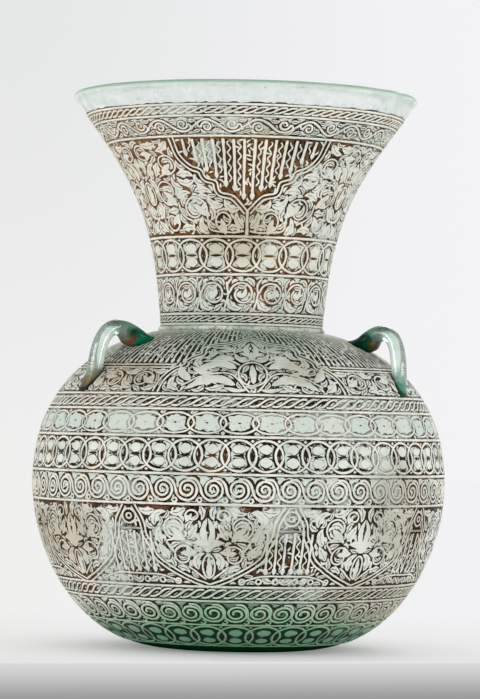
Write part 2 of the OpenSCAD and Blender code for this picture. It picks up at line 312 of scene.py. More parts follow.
def node_section(node, centre_z=None):
    """The outer and inner wall of a turned node as rows of radius and height, in order.

    A round bowl is sorted by its angle about a point on its axis, and a plain wall by height.
    """
    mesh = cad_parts[node].data
    places = np.empty(len(mesh.vertices) * 3)
    mesh.vertices.foreach_get("co", places)
    corners = np.empty(len(mesh.loops), int)
    mesh.loops.foreach_get("vertex_index", corners)
    triangles = places.reshape(-1, 3)[corners].reshape(-1, 3, 3)
    normals = np.cross(triangles[:, 1] - triangles[:, 0], triangles[:, 2] - triangles[:, 0])
    normals /= np.linalg.norm(normals, axis=1)[:, None] + 1e-15
    away = triangles.mean(axis=1) * (1, 1, 0 if centre_z is None else 1)
    away -= (0, 0, centre_z or 0)
    away /= np.linalg.norm(away, axis=1)[:, None]
    facing = np.einsum("ij,ij->i", normals, away)
    least_facing, least_gap = 0.05, 0.2 * MM
    walls = []
    for side in (1, -1):
        found = triangles[facing * side > least_facing].reshape(-1, 3)
        rows = np.c_[np.hypot(found[:, 0], found[:, 1]), found[:, 2]]
        rows = np.unique(np.round(rows, 6), axis=0)
        if centre_z is None:
            order = np.argsort(rows[:, 1])
        else:
            order = np.argsort(np.arctan2(rows[:, 0], centre_z - rows[:, 1]))
        rows = rows[order]
        apart = np.linalg.norm(np.diff(rows, axis=0), axis=1) > least_gap
        walls.append(rows[np.concatenate([[True], apart])])
    return walls


class Wall:
    """The outer wall of a glass part, from its foot to its top, that enamel is laid on."""

    def __init__(self, name, rows):
        self.rows = smooth_path(rows, WALL_STEP)
        steps = np.linalg.norm(np.diff(self.rows, axis=0), axis=1)
        self.lengths = np.concatenate([[0], np.cumsum(steps)])
        flat = np.zeros(len(self.rows))
        self.curve = curve_object(name, [np.c_[self.rows[:, 0], flat, self.rows[:, 1], flat]])

    def length_at(self, height):
        return float(np.interp(height, self.rows[:, 1], self.lengths))

    def radius_at(self, height):
        return float(np.interp(height, self.rows[:, 1], self.rows[:, 0]))


def new_object(name, data):
    """A new object in the scene."""
    made = bpy.data.objects.new(name, data)
    bpy.context.scene.collection.objects.link(made)
    return made


def curve_object(name, strokes):
    """A curve object from strokes of rows x, y, z, radius. It is only read by node trees."""
    data = bpy.data.curves.new(name, "CURVE")
    data.dimensions = "3D"
    for stroke in strokes:
        spline = data.splines.new("POLY")
        spline.points.add(len(stroke) - 1)
        place = np.c_[stroke[:, :3], np.ones(len(stroke))]
        spline.points.foreach_set("co", place.astype(np.float32).ravel())
        spline.points.foreach_set("radius", stroke[:, 3].astype(np.float32))
    return new_object(name, data)


def mesh_object(name, vertices, faces):
    """A mesh object with smooth faces that point outwards."""
    mesh = bpy.data.meshes.new(name)
    mesh.from_pydata([tuple(v) for v in vertices], [], faces)
    face_outwards(mesh)
    mesh.shade_smooth()
    return new_object(name, mesh)


def face_outwards(mesh):
    """Turns a closed mesh the right way round if its volume is negative."""
    mesh.calc_loop_triangles()
    corners = np.empty(len(mesh.loop_triangles) * 3, int)
    mesh.loop_triangles.foreach_get("vertices", corners)
    places = np.empty(len(mesh.vertices) * 3)
    mesh.vertices.foreach_get("co", places)
    a, b, c = places.reshape(-1, 3)[corners].reshape(-1, 3, 3).transpose(1, 0, 2)
    if np.einsum("ij,ij->i", a, np.cross(b, c)).sum() < 0:
        mesh.flip_normals()


def lathe(name, section, segments, closed):
    """A turned piece from rows of radius and height. A closed section is a ring."""
    rings, vertices = [], []
    for radius, height in section:
        if radius < ON_AXIS:
            rings.append([len(vertices)] * segments)
            vertices.append((0, 0, height))
            continue
        rings.append([len(vertices) + i for i in range(segments)])
        turns = (TAU * i / segments for i in range(segments))
        vertices += [(radius * math.sin(t), -radius * math.cos(t), height) for t in turns]
    faces = []
    for low, high in zip(rings, rings[1:] + (rings[:1] if closed else [])):
        for i in range(segments):
            j = (i + 1) % segments
            corners = dict.fromkeys((low[i], low[j], high[j], high[i]))
            if len(corners) > 2:
                faces.append(list(corners))
    return mesh_object(name, vertices, faces)


def paint(mesh, material):
    """Gives a mesh one material in place of what it had."""
    mesh.materials.clear()
    mesh.materials.append(material)


def dress(piece, material, body, slot, *nodes):
    """Gives a finished piece its material, the body it rides on and the nodes it stands for. The slot is not
    used.
    """
    if material is not None:
        paint(piece.data, material)
    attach(piece, body)
    if nodes:
        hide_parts(*nodes)


# Materials


def new_material(name, **constants):
    """A material with its graph, its Principled shader node and Object coordinates."""
    made = bpy.data.materials.new(name)
    made.use_nodes = True
    shader = made.node_tree.nodes["Principled BSDF"]
    for socket, value in constants.items():
        shader.inputs[socket.replace("_", " ")].default_value = value
    graph = Graph(made.node_tree)
    coords = graph.node("ShaderNodeTexCoord", output="Object")
    return made, graph, shader, coords


def feed(graph, shader, **wires):
    """Links wires to the sockets of a shader."""
    for socket, wire in wires.items():
        graph.tree.links.new(wire.socket, shader.inputs[socket.replace("_", " ")])


def bump(graph, height, strength, distance):
    """A Bump node that reads a height wire."""
    inputs = {"Height": height, "Strength": strength, "Distance": distance}
    return graph.node("ShaderNodeBump", None, inputs)


def glaze(graph, shader, coords, shade, roughness, grain, strength):
    """Gives fired enamel its colour, its roughness and a fine grain of a given scale and strength."""
    depth = 0.2 * MM
    rough = bump(graph, graph.noise(coords, grain, 2.0), strength, depth)
    feed(graph, shader, Base_Color=shade, Roughness=roughness, Normal=rough)


def set_surface(graph, made, share, first, second):
    """Mixes two shader wires by a share, and gives the material the result."""
    both = graph.node("ShaderNodeMixShader", None, {0: share, 1: first, 2: second})
    graph.tree.links.new(both.socket, made.node_tree.nodes["Material Output"].inputs["Surface"])


def lay_skin(graph, made, shader, share, gloss, **wires):
    """Lays an opaque skin over the material's shader. The share is how much of the skin shows."""
    skin = graph.tree.nodes.new("ShaderNodeBsdfPrincipled")
    skin.inputs["Specular IOR Level"].default_value = gloss
    feed(graph, skin, **wires)
    set_surface(graph, made, share, Wire(graph, shader.outputs["BSDF"]), Wire(graph, skin.outputs["BSDF"]))


def green_depth(graph, coords):
    """How much the thick green glass shows: 1 at the foot of the lamp, 0 from the middle bands up."""
    x, _, z = graph.split(coords)
    patches = graph.noise(coords, 14.0, 2.0)
    aside = ((x - 0.005).math("ABSOLUTE") - 0.02).math("MAXIMUM", 0.0)
    return graph.ease(z + aside * 0.28 + (patches - 0.5) * 0.02, 0.0515, 0.0215)


def neck_shadow(graph, coords):
    """Painted shade where the neck joins the globe, greener like the thick glass there: strongest on the
    shoulder just below the joint and weaker at its sides, fainter on the neck just above.
    """
    x, _, z = graph.split(coords)
    patches = graph.noise(coords, 26.0, 2.0)
    below = graph.ease(z + (patches - 0.5) * 0.02, 0.16, 0.186) * graph.ease(z, 0.19, 0.186)
    below = below * (graph.ease(x.math("ABSOLUTE"), 0.055, 0.025) * 0.5 + 0.5)
    return below + graph.between(z, 0.188, 0.19, 0.193, 0.206) * 0.5


# Places on the front of the lamp: across, up, half width and half height

RUBBED = ((-0.04, 0.065, 0.033, 0.022), (0.034, 0.079, 0.017, 0.014), (-0.012, 0.086, 0.018, 0.014),
          (-0.069, 0.0957, 0.02, 0.006), (-0.013, 0.146, 0.017, 0.005), (0.07, 0.146, 0.022, 0.005),
          (-0.024, 0.29, 0.009, 0.007), (-0.046, 0.314, 0.02, 0.004), (-0.023, 0.21, 0.014, 0.009),
          (0.046, 0.245, 0.014, 0.011))
# Dark spots on the front: dirt, and painted shade at the lower right and at the sides of the globe, where the
# pale enamel and the ground darken to a grey brown
DIRT_AND_SHADE_SPOTS = ((-0.004, 0.245, 0.028, 0.022), (0.006, 0.066, 0.024, 0.016), (0.078, 0.031, 0.042, 0.022),
          (-0.1, 0.07, 0.03, 0.022), (0.092, 0.085, 0.026, 0.036), (0.035, 0.165, 0.016, 0.01),
          (-0.066, 0.162, 0.028, 0.013))
DIRT_AND_SHADE = srgb(148, 132, 98)
DIRT_AND_SHADE_SHARE = 0.42


def front_spots(graph, coords, places):
    """Soft oval spots on the front of the lamp: 1 in the middle of each."""
    x, y, z = graph.split(coords)
    spots = None
    for across, up, wide, tall in places:
        aside = (x - across) / wide
        above = (z - up) / tall
        spot = graph.ease(aside * aside + above * above, 1.0, 0.2)
        spots = spot if spots is None else spots.math("MAXIMUM", spot)
    return spots * graph.ease(y, 0.0, -0.02)


def worn_patches(graph, coords):
    """Mottled patches where the brown enamel is rubbed away: 1 is bare."""
    x, y, z = graph.split(coords)
    broad = graph.noise(coords, 20.0, 2.0)
    fine = graph.noise(coords, 330.0, 3.0, 0.6)
    oval_band = graph.between(z, 0.1255, 0.128, 0.14, 0.1425)
    handled = oval_band * (graph.ease(x, -0.03, 0.02) * 0.03 + 0.07)
    handled = handled + front_spots(graph, coords, RUBBED) * 0.1
    kept = graph.ease(x, -0.06, -0.1) * graph.ease(y, 0.0, -0.02) * 0.05
    return graph.ease(broad * 0.62 + fine * 0.38 + handled - kept, 0.575, 0.605)


def pale_enamel(name, colour, upper_green, lower_green):
    """Pale raised enamel, a little grey in places, cream on the neck and greener near the foot, with painted
    warm light on the left of the lamp and painted shade below the neck.
    """
    made, graph, shader, coords = new_material(name, Specular_IOR_Level=0.2)
    x, _, z = graph.split(coords)
    grey = graph.ease(graph.noise(coords, 55.0, 3.0), 0.4, 0.8)
    stain = graph.ease(graph.noise(coords, 240.0, 2.0), 0.6, 0.75) * 0.3
    # Cream on the neck, and painted warm light towards the left of the lamp
    cream_and_left_light = graph.between(z, 0.2, 0.24, 0.297, 0.303) * 0.24 + graph.ease(x, -0.02, -0.1) * 0.25
    deep = graph.mix(graph.ease(z, 0.032, 0.01), upper_green, lower_green)
    shade = graph.layered(
        colour,
        (grey, srgb(190, 196, 186)),
        (stain, srgb(140, 112, 76)),
        (cream_and_left_light, srgb(228, 217, 196)),
        (worn_patches(graph, coords) * 0.75, srgb(206, 212, 202)),
        # Dirt, and painted shade at the lower right and the sides of the globe
        (front_spots(graph, coords, DIRT_AND_SHADE_SPOTS) * DIRT_AND_SHADE_SHARE, DIRT_AND_SHADE),
        (neck_shadow(graph, coords) * 0.62, srgb(112, 146, 122)),
        (green_depth(graph, coords) * 0.82, deep))
    roughness = 0.34 + graph.noise(coords, 300.0) * 0.3
    glaze(graph, shader, coords, shade, roughness, grain=1500.0, strength=0.35)
    return made


def brown_enamel(enamel):
    """Brown enamel, golden at random and towards the neck, with painted light that turns it gold on the left
    side of the lamp, rubbed off in patches.
    """
    made, graph, shader, coords = new_material("brown_enamel", Specular_IOR_Level=0.12)
    x, _, z = graph.split(coords)
    blotch = graph.noise(coords, 34.0, 3.0)
    # Painted light: the brown turns gold towards the left of the lamp, as if lit through from behind on that
    # side
    side = graph.ease(x + (blotch - 0.5) * 0.09, -0.02, -0.085)
    upper = graph.ease(z, 0.19, 0.21)
    gold_tone_and_side_light = graph.ease(blotch + side * (upper * 0.2 + 0.1) + upper * 0.15, 0.5, 0.96)
    flakes = graph.ease(graph.noise(coords, 420.0, 2.0), 0.62, 0.72) * 0.45
    shade = graph.layered(
        tuple(enamel.brown),
        (gold_tone_and_side_light, tuple(enamel.gold)),
        (worn_patches(graph, coords) * 0.68, tuple(enamel.ground)),
        (flakes, tuple(enamel.ground)),
        (neck_shadow(graph, coords) * 0.5, srgb(18, 32, 18)),
        (green_depth(graph, coords) * 0.85, srgb(8, 36, 18)))
    glaze(graph, shader, coords, shade, 0.42 + blotch * 0.3, grain=1200.0, strength=0.4)
    return made


def field_ground(enamel):
    """The brown ground between the leaves of a field, golden and dark by turns, with painted light that turns
    it gold on the left side of the lamp, rubbed pale in patches.
    """
    made, graph, shader, coords = new_material("field_ground", Specular_IOR_Level=0.15)
    x, _, z = graph.split(coords)
    # Painted light: the ground turns gold towards the left of the lamp, as if lit through from behind on that
    # side
    side = graph.ease(x + (graph.noise(coords, 34.0) - 0.5) * 0.09, 0.0, -0.08)
    upper = graph.ease(z, 0.19, 0.21)
    gold_tone_and_side_light = graph.noise(coords, 130.0, 3.0) + side * (upper * 0.14 + 0.08) + upper * 0.12
    gold_tone_and_side_light = graph.ease(gold_tone_and_side_light, 0.4, 0.82)
    shade = graph.layered(
        tuple(enamel.brown),
        (gold_tone_and_side_light, tuple(enamel.gold)),
        (worn_patches(graph, coords) * 0.85, tuple(enamel.ground)),
        (green_depth(graph, coords) * 0.85, srgb(24, 58, 34)))
    glaze(graph, shader, coords, shade, 0.35 + gold_tone_and_side_light * 0.25, grain=900.0, strength=0.3)
    return made


def worn_ground(enamel):
    """The thin ground under the drawing: pale grey green, cloudy, green where the glass is thick."""
    made, graph, shader, coords = new_material("worn_ground", Specular_IOR_Level=0.05)
    _, _, z = graph.split(coords)
    cloud = graph.noise(coords, 28.0, 3.0)
    specks = graph.ease(graph.noise(coords, 620.0, 2.0), 0.62, 0.7) * 0.45
    deep = graph.mix(graph.ease(z, 0.034, 0.008), srgb(14, 92, 54), srgb(2, 46, 22))
    shade = graph.layered(
        tuple(enamel.ground),
        (graph.ease(cloud, 0.35, 0.75), srgb(194, 207, 199)),
        (specks, srgb(116, 92, 62)),
        (graph.ease(z, 0.2, 0.24) * 0.35, srgb(192, 182, 156)),
        # Dirt, and painted shade at the lower right and the sides of the globe
        (front_spots(graph, coords, DIRT_AND_SHADE_SPOTS) * DIRT_AND_SHADE_SHARE, DIRT_AND_SHADE),
        (neck_shadow(graph, coords) * 0.7, srgb(92, 128, 102)),
        (green_depth(graph, coords), deep))
    glaze(graph, shader, coords, shade, 0.4 + cloud * 0.25, grain=900.0, strength=0.3)
    return made


def joint_skin(enamel):
    """The worn skin of the thread where neck and globe join: pale, cloudy green and streaked with brown."""
    made, graph, shader, coords = new_material("joint_skin", Specular_IOR_Level=0.1)
    cloud = graph.noise(coords, 70.0, 4.0, 0.6)
    streaks = graph.ease(graph.noise(coords, 420.0, 3.0, 0.7), 0.5, 0.62) * 0.6
    shade = graph.layered(
        tuple(enamel.ground),
        (graph.ease(cloud, 0.4, 0.7), srgb(158, 178, 160)),
        (streaks, srgb(104, 88, 58)))
    grain = graph.noise(coords, 500.0, 3.0)
    feed(graph, shader, Base_Color=shade, Roughness=0.4 + cloud * 0.3,
         Normal=bump(graph, grain, strength=0.6, distance=0.6 * MM))
    return made


def lamp_glass(glass):
    """Pale blown glass with a weathered skin: clear at the rim, green at the lip and in the thick base."""
    made, graph, shader, coords = new_material("lamp_glass", Transmission_Weight=1.0, IOR=1.46)
    _, _, z = graph.split(coords)
    seeds = graph.ease(graph.noise(coords, 420.0, 1.0), 0.73, 0.77) * 0.6
    cloud = graph.noise(coords, 40.0, 4.0, 0.6)
    lip = graph.ease(z, 0.3266, 0.3292) * (graph.ease(cloud, 0.3, 0.6) * 0.4 + 0.6)
    shade = graph.layered(
        tuple(glass.rim),
        (seeds, srgb(92, 100, 88)),
        (lip * 0.8, srgb(120, 172, 136)),
        (graph.ease(z, 0.06, 0.008), tuple(glass.base)))
    ripple = graph.noise(graph.moved(coords, (0.0, 0.0, 0.3)), 60.0, 2.0)
    wave = bump(graph, ripple, strength=0.18, distance=1 * MM)
    feed(graph, shader, Base_Color=shade, Roughness=glass.roughness + seeds * 0.3, Normal=wave)
    share = graph.ease(z, 0.3255, 0.328) * 0.35 + graph.ease(cloud, 0.3, 0.7) * 0.3 + 0.2
    share = share.math("MAXIMUM", graph.ease(z, 0.016, 0.009))
    lay_skin(graph, made, shader, share, 0.0, Base_Color=shade, Roughness=0.2 + cloud * 0.3, Normal=wave)
    return made


def handle_glass(glass, wall):
    """Worked glass: deep green in the pad by the neck, clear in the loop, stained and dark at the tail, with
    painted shade at its edges and a painted shadow line where it lies on the shoulder.
    """
    made, graph, shader, coords = new_material(
        "handle_glass", Transmission_Weight=0.9, IOR=1.5, Coat_Roughness=0.03)
    x, y, z = graph.split(coords)
    reach = (x * x + y * y).math("SQRT")
    streak = graph.noise(coords, 120.0, 3.0)
    pad = graph.ease(reach + (streak - 0.5) * 0.012, 0.093, 0.083)
    thick = graph.ease(z + (streak - 0.5) * 0.008, 0.1915, 0.186)
    tail = graph.ease(z, 0.17, 0.158)
    right = graph.ease(x, -0.02, 0.02)
    dull = graph.mix(graph.ease(streak, 0.4, 0.65), srgb(34, 92, 46), srgb(112, 158, 112))
    clear = graph.mix(graph.ease(streak, 0.4, 0.65), srgb(40, 128, 104), srgb(124, 184, 164))
    deep = graph.mix(graph.ease(streak, 0.4, 0.7), tuple(glass.pad), srgb(10, 104, 74))
    corner = graph.between(reach, 0.081, 0.0845, 0.086, 0.0895) * graph.ease(z, 0.186, 0.1805)
    stain = graph.ease(graph.noise(coords, 80.0, 1.0), 0.34, 0.56)
    stain = stain * (corner + tail * (0.75 - right * 0.75)).math("MINIMUM", 1.0)
    # Painted shadow: a dark line where the handle lies on the shoulder
    low, high = 0.152, 0.17
    slope = (wall.radius_at(high) - wall.radius_at(low)) / (high - low)
    gap = reach - (z - low) * slope - wall.radius_at(low)
    under = graph.ease(gap, 0.0044, 0.0022) * graph.ease(z, 0.178, 0.172)
    shade = graph.layered(
        tuple(glass.handle),
        (graph.ease(streak, 0.4, 0.8) * 0.6, srgb(176, 212, 194)),
        (graph.ease(z, 0.183, 0.192) * 0.75, srgb(112, 168, 140)),
        (tail * 0.9, graph.mix(right, dull, clear)),
        (pad, graph.mix(thick, srgb(98, 160, 130), deep)),
        (stain * 0.85, srgb(112, 68, 22)),
        (under * 0.9, srgb(6, 16, 8)))
    ripple = graph.noise(coords, 110.0, 2.0)
    wave = bump(graph, ripple, strength=0.3, distance=1 * MM)
    # Painted shade: the glass darkens towards its edges, where they turn away from the camera
    facing = graph.node("ShaderNodeLayerWeight", None, {"Blend": 0.5}, "Facing")
    glass_shade_with_painted_edges = graph.mix(graph.ease(facing, 0.5, 0.92) * 0.7, shade, srgb(52, 74, 52))
    feed(graph, shader, Base_Color=glass_shade_with_painted_edges, Roughness=0.03 + stain * 0.4, Normal=wave,
         Coat_Weight=(1.0 - pad) * 0.5)
    share = pad * (thick * 0.35 + 0.64)
    for other in (stain * 0.9, under, tail * 0.85):
        share = share.math("MAXIMUM", other)
    lay_skin(graph, made, shader, share, 0.06, Base_Color=shade, Roughness=0.1 + streak * 0.2, Normal=wave)
    return made


def cup_glass():
    """Thin clear glass of the oil cup, a little dusty."""
    made, graph, shader, coords = new_material("cup_glass", Transmission_Weight=1.0, IOR=1.46)
    dust = graph.ease(graph.noise(coords, 70.0, 4.0), 0.5, 0.75)
    shade = graph.mix(dust * 0.4, srgb(226, 238, 226), srgb(196, 206, 186))
    ripple = graph.noise(coords, 90.0, 2.0)
    feed(graph, shader, Base_Color=shade, Roughness=0.05 + dust * 0.2,
         Normal=bump(graph, ripple, strength=0.15, distance=1 * MM))
    return made


def bronze():
    """Hammered brown bronze with patches of green."""
    made, graph, shader, coords = new_material("bronze", Metallic=1.0)
    patches = graph.noise(coords, 90.0, 4.0)
    patina = graph.ease(graph.noise(coords, 260.0, 4.0), 0.58, 0.72)
    shade = graph.layered(srgb(150, 108, 62), (patches, srgb(96, 66, 40)), (patina * 0.6, srgb(92, 120, 96)))
    hammer = graph.node("ShaderNodeTexVoronoi", None, {"Vector": coords, "Scale": 420.0})
    feed(graph, shader, Base_Color=shade, Roughness=0.28 + patina * 0.4,
         Normal=bump(graph, hammer, strength=0.3, distance=0.4 * MM))
    return made


def cotton():
    """Twisted cotton yarn, charred at the tip."""
    made, graph, shader, coords = new_material("cotton", Sheen_Weight=0.3)
    _, _, z = graph.split(coords)
    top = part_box("wick")[1].z
    stretched = graph.node("ShaderNodeVectorMath", {"operation": "MULTIPLY"}, {0: coords, 1: (3.0, 3.0, 0.6)})
    fibre = graph.noise(stretched, 900.0, 3.0)
    char = graph.ease(z, top - 0.009, top - 0.002)
    shade = graph.layered(srgb(226, 214, 186), (fibre, srgb(190, 172, 136)), (char, srgb(36, 30, 26)))
    feed(graph, shader, Base_Color=shade, Roughness=0.8 + fibre * 0.15,
         Normal=bump(graph, fibre, strength=0.6, distance=0.4 * MM))
    return made


# Ornament, drawn flat


class Cell:
    """One repeat of a band's ornament in millimetres: u runs round the lamp from the middle of the
    cell, and v runs up the wall from the band's lower edge."""

    def __init__(self, width, height, radius, line_half):
        self.width = width
        self.height = height
        self.degree = math.radians(1) * radius
        self.line_half = line_half
        self.lines = []
        self.leaves = []
        self.darks = []
        self.veins = []

    def line(self, points, half=None, both=False, smooth=True, step=1.3):
        """A stroke of even width, and its mirror image if both is set."""
        path = even_path(smooth_path(points, 0.5) if smooth else points, step)
        self._add(self.lines, path, half or self.line_half, both)

    def leaf(self, points, half, both=False):
        """A stroke that swells and runs out to a point."""
        path = even_path(smooth_path(points, 0.4), 1.0)
        t = np.linspace(0, 1, len(path))
        self._add(self.leaves, path, half * np.sin(math.pi * t**0.8) ** 0.75 + 0.1, both)

    def dark(self, points, half, both=False):
        """A filled brown stroke that runs out to points at both ends."""
        path = even_path(smooth_path(points, 0.4), 1.0)
        t = np.linspace(0, 1, len(path))
        self._add(self.darks, path, half * np.sin(math.pi * t) ** 0.7, both)

    def disc(self, u, v, half_u, half_v):
        """A flat pale disc, round or oval."""
        t = -np.cos(np.linspace(0, math.pi, 13))
        path = np.c_[u + half_u * t, np.full(len(t), v)]
        self._add(self.leaves, path, half_v * np.sqrt(1 - t**2) + 0.05, False)

    def vein(self, points, half, both=False):
        """A thin brown stroke on top of a leaf."""
        self._add(self.veins, even_path(smooth_path(points, 0.4), 0.95), half, both)

    @staticmethod
    def _add(strokes, path, half, both):
        """Adds rows of u, v, 0 and half width, in metres. The width is even, or given for each point."""
        flat = np.zeros(len(path))
        rows = np.c_[path, flat, flat + half]
        strokes.append(rows * MM)
        if both:
            strokes.append(rows * (-MM, MM, MM, MM))

    def ring(self, u, v, radius, both=False, tall=1.0, half=None):
        """A round or oval ring."""
        self.line(arc(u, v, radius, 0, 360, tall), half, both, smooth=False)

    def roundel(self, u, v, radius, start, hand, both=True):
        """A stem that curls round once and ends in a leaf with a shorter one on each side."""
        sweep = 345 * hand
        self.line(spiral(u, v, radius, radius * 0.5, start, start + sweep), both=both)
        turn = math.radians(start + sweep)
        end = np.array([u, v]) + 0.5 * radius * np.array([math.cos(turn), math.sin(turn)])
        ahead = turn + hand * math.pi / 2
        for lean, reach in ((0.0, 0.95), (0.9, 0.75), (-0.9, 0.75)):
            way = np.array([math.cos(ahead + lean), math.sin(ahead + lean)])
            bend = np.array([-way[1], way[0]]) * (0.25 * radius * np.sign(lean))
            middle = end + way * reach * radius * 0.5
            self.leaf([end, middle, end + way * reach * radius + bend], radius * 0.2, both)

    def split_leaf(self, u, v, heading, size, hand, both=True):
        """A half palmette: a long curved lobe and a short one that turns back."""
        base = np.array([u, v])
        for lean, reach, bend in ((0.0, 1.0, 0.35), (1.0, 0.6, -0.2)):
            turn = math.radians(heading) + hand * lean
            way = np.array([math.cos(turn), math.sin(turn)])
            side = np.array([-way[1], way[0]]) * hand * bend * size
            tip = base + way * size * reach + side
            self.leaf([base, base + way * size * reach * 0.55, tip], size * 0.2, both)


def arc(u, v, radius, first, last, tall=1.0):
    """Points of a round or oval arc between two angles in degrees."""
    turns = np.radians(np.linspace(first, last, max(6, int(abs(last - first) / 15))))
    return np.c_[u + radius * np.cos(turns), v + radius * tall * np.sin(turns)]


def spiral(u, v, outer, inner, first, last):
    """Points of a spiral from its outer end inwards."""
    count = max(8, int(abs(last - first) / 24))
    turns = np.radians(np.linspace(first, last, count))
    radii = np.linspace(outer, inner, count)
    return np.c_[u + radii * np.cos(turns), v + radii * np.sin(turns)]


def beside(points, gap):
    """The path that runs at a gap to the left of another one."""
    path = smooth_path(points, 1.5)
    along = np.gradient(path, axis=0)
    along /= np.linalg.norm(along, axis=1)[:, None] + 1e-9
    return path + np.c_[-along[:, 1], along[:, 0]] * gap


class Sheet:
    """A fine grid over a cell, or over one half of a mirrored one, that knows how much room is left
    beside the drawing."""

    def __init__(self, cell, gap, mirrored=True, grain=0.4):
        self.cell = cell
        self.gap = gap
        self.mirrored = mirrored
        self.grain = grain
        self.low = np.array([0.0 if mirrored else -cell.width / 2, 0.0])
        self.u = np.arange(self.low[0], cell.width / 2, grain)[:, None]
        self.v = np.arange(0, cell.height, grain)[None, :]
        margin = 1.2
        seam = 0.8 if mirrored else -cell.width
        self.taken = (self.v < margin) | (self.v > cell.height - margin) | (self.u < seam)
        for stroke in cell.lines + cell.leaves:
            self.cover(stroke / MM)

    def cover(self, rows):
        """Marks the ground under a stroke, and the gap beside it, as taken."""
        for u, v, _, half in rows:
            for shift in (0,) if self.mirrored else (-self.cell.width, 0, self.cell.width):
                self.taken |= (self.u - u - shift) ** 2 + (self.v - v) ** 2 < (half + self.gap) ** 2

    def fence(self, hidden):
        """Marks the spots where a test of u and v holds as taken."""
        self.taken |= np.array([[hidden(u, v) for v in self.v[0]] for u in self.u[:, 0]])

    def room(self):
        """The distance from each spot to what is taken, in millimetres."""
        free = ~self.taken
        reach = np.zeros(free.shape)
        most_steps = 40
        for step in range(most_steps):
            if not free.any():
                break
            reach += free * self.grain
            edge = np.pad(free, 1)
            near = edge[:-2, 1:-1] & edge[2:, 1:-1] & edge[1:-1, :-2] & edge[1:-1, 2:]
            if step % 2:
                near &= edge[:-2, :-2] & edge[2:, :-2] & edge[:-2, 2:] & edge[2:, 2:]
            free = free & near
        return reach

    def read(self, room, path):
        """The room at the points of a path."""
        at = np.clip(np.round((path - self.low) / self.grain).astype(int), 0, np.array(room.shape) - 1)
        return room[at[:, 0], at[:, 1]]

    def fill(self, smallest, widest=2.2):
        """Lays leaves in the largest gaps, along the way that has the most room, down to a size.

        A large leaf gets a vein, and the largest also two lobes at its foot.
        """
        most_leaves, veined, lobed, lobe_turn = 160, 1.5, 1.9, 60
        for _ in range(most_leaves):
            room = self.room()
            at = np.array(np.unravel_index(room.argmax(), room.shape)) * self.grain + self.low
            reach = min(float(room.max()), widest / 0.7)
            if reach < smallest:
                return
            best = (-1.0, None)
            for heading in np.radians(np.arange(0, 360, 20)):
                way = np.array([math.cos(heading), math.sin(heading)])
                side = np.array([-way[1], way[0]])
                for bend in (0.0, 0.7, 1.3):
                    shape = np.array([(-1.5, 0.5 * bend), (-0.6, 0.1), (0.4, 0.0),
                                      (1.3, 0.35 * bend), (1.9, bend)])
                    path = at + shape[:, :1] * way * reach + shape[:, 1:] * side * reach
                    clear = np.minimum(self.read(room, even_path(path, 0.6)), 0.7 * reach)
                    score = clear.mean() + 0.05 * bend
                    if score > best[0]:
                        best = (score, path)
            self.cell.leaf(best[1], 0.62 * reach, both=self.mirrored)
            if reach > veined:
                self.cell.vein(best[1][:-1] * 0.82 + best[1][2] * 0.18, 0.24, both=self.mirrored)
            self.cover(self.cell.leaves[-2 if self.mirrored else -1] / MM)
            foot, ahead = best[1][1], best[1][2] - best[1][1]
            for turn in (lobe_turn, -lobe_turn) if reach > lobed else ():
                cosine, sine = math.cos(math.radians(turn)), math.sin(math.radians(turn))
                way = np.array([cosine * ahead[0] - sine * ahead[1], sine * ahead[0] + cosine * ahead[1]])
                lobe = [foot, foot + 0.6 * way, foot + 0.8 * way + 0.5 * ahead]
                self.cell.leaf(lobe, 0.34 * reach, both=self.mirrored)


def rope(cell):
    """Twisted rope: one slanted strand that tapers at both ends, with a dark wedge under it."""
    w, h = cell.width, cell.height
    strand = np.array([(-1.15, 0.2), (-0.8, 0.17), (-0.42, 0.27), (0, 0.5),
                       (0.42, 0.73), (0.8, 0.83), (1.15, 0.8)])
    cell.line(strand * (w, h), half=min(0.66, 0.115 * h))
    wedge = np.array([(-0.3, 0.14), (0.12, 0.4), (0.5, 0.6), (0.95, 0.68)])
    cell.dark(wedge * (w, h), min(0.72, 0.12 * h))


def wave_scroll(cell):
    """A waving stem with a curl in each hollow of the wave, and leaves in the corners."""
    w, h = cell.width, cell.height
    u = np.linspace(-w / 2, w / 2, 17)
    cell.line(np.c_[u, h / 2 + 0.34 * h * np.sin(TAU * u / w)], half=0.75)
    for side in (1, -1):
        at = (side * w / 4, h / 2 - side * 0.08 * h)
        turn = 180 if side > 0 else 0
        cell.line(spiral(*at, 0.29 * h, 0.12 * h, turn, turn - 380), half=0.7)
        cell.line([(side * w * 0.05, h / 2 + side * 0.2 * h), (side * w * 0.09, h / 2 - side * 0.06 * h),
                   (at[0] - side * 0.29 * h, at[1])], half=0.7)
    Sheet(cell, 0.6, mirrored=False).fill(0.9, widest=1.1)


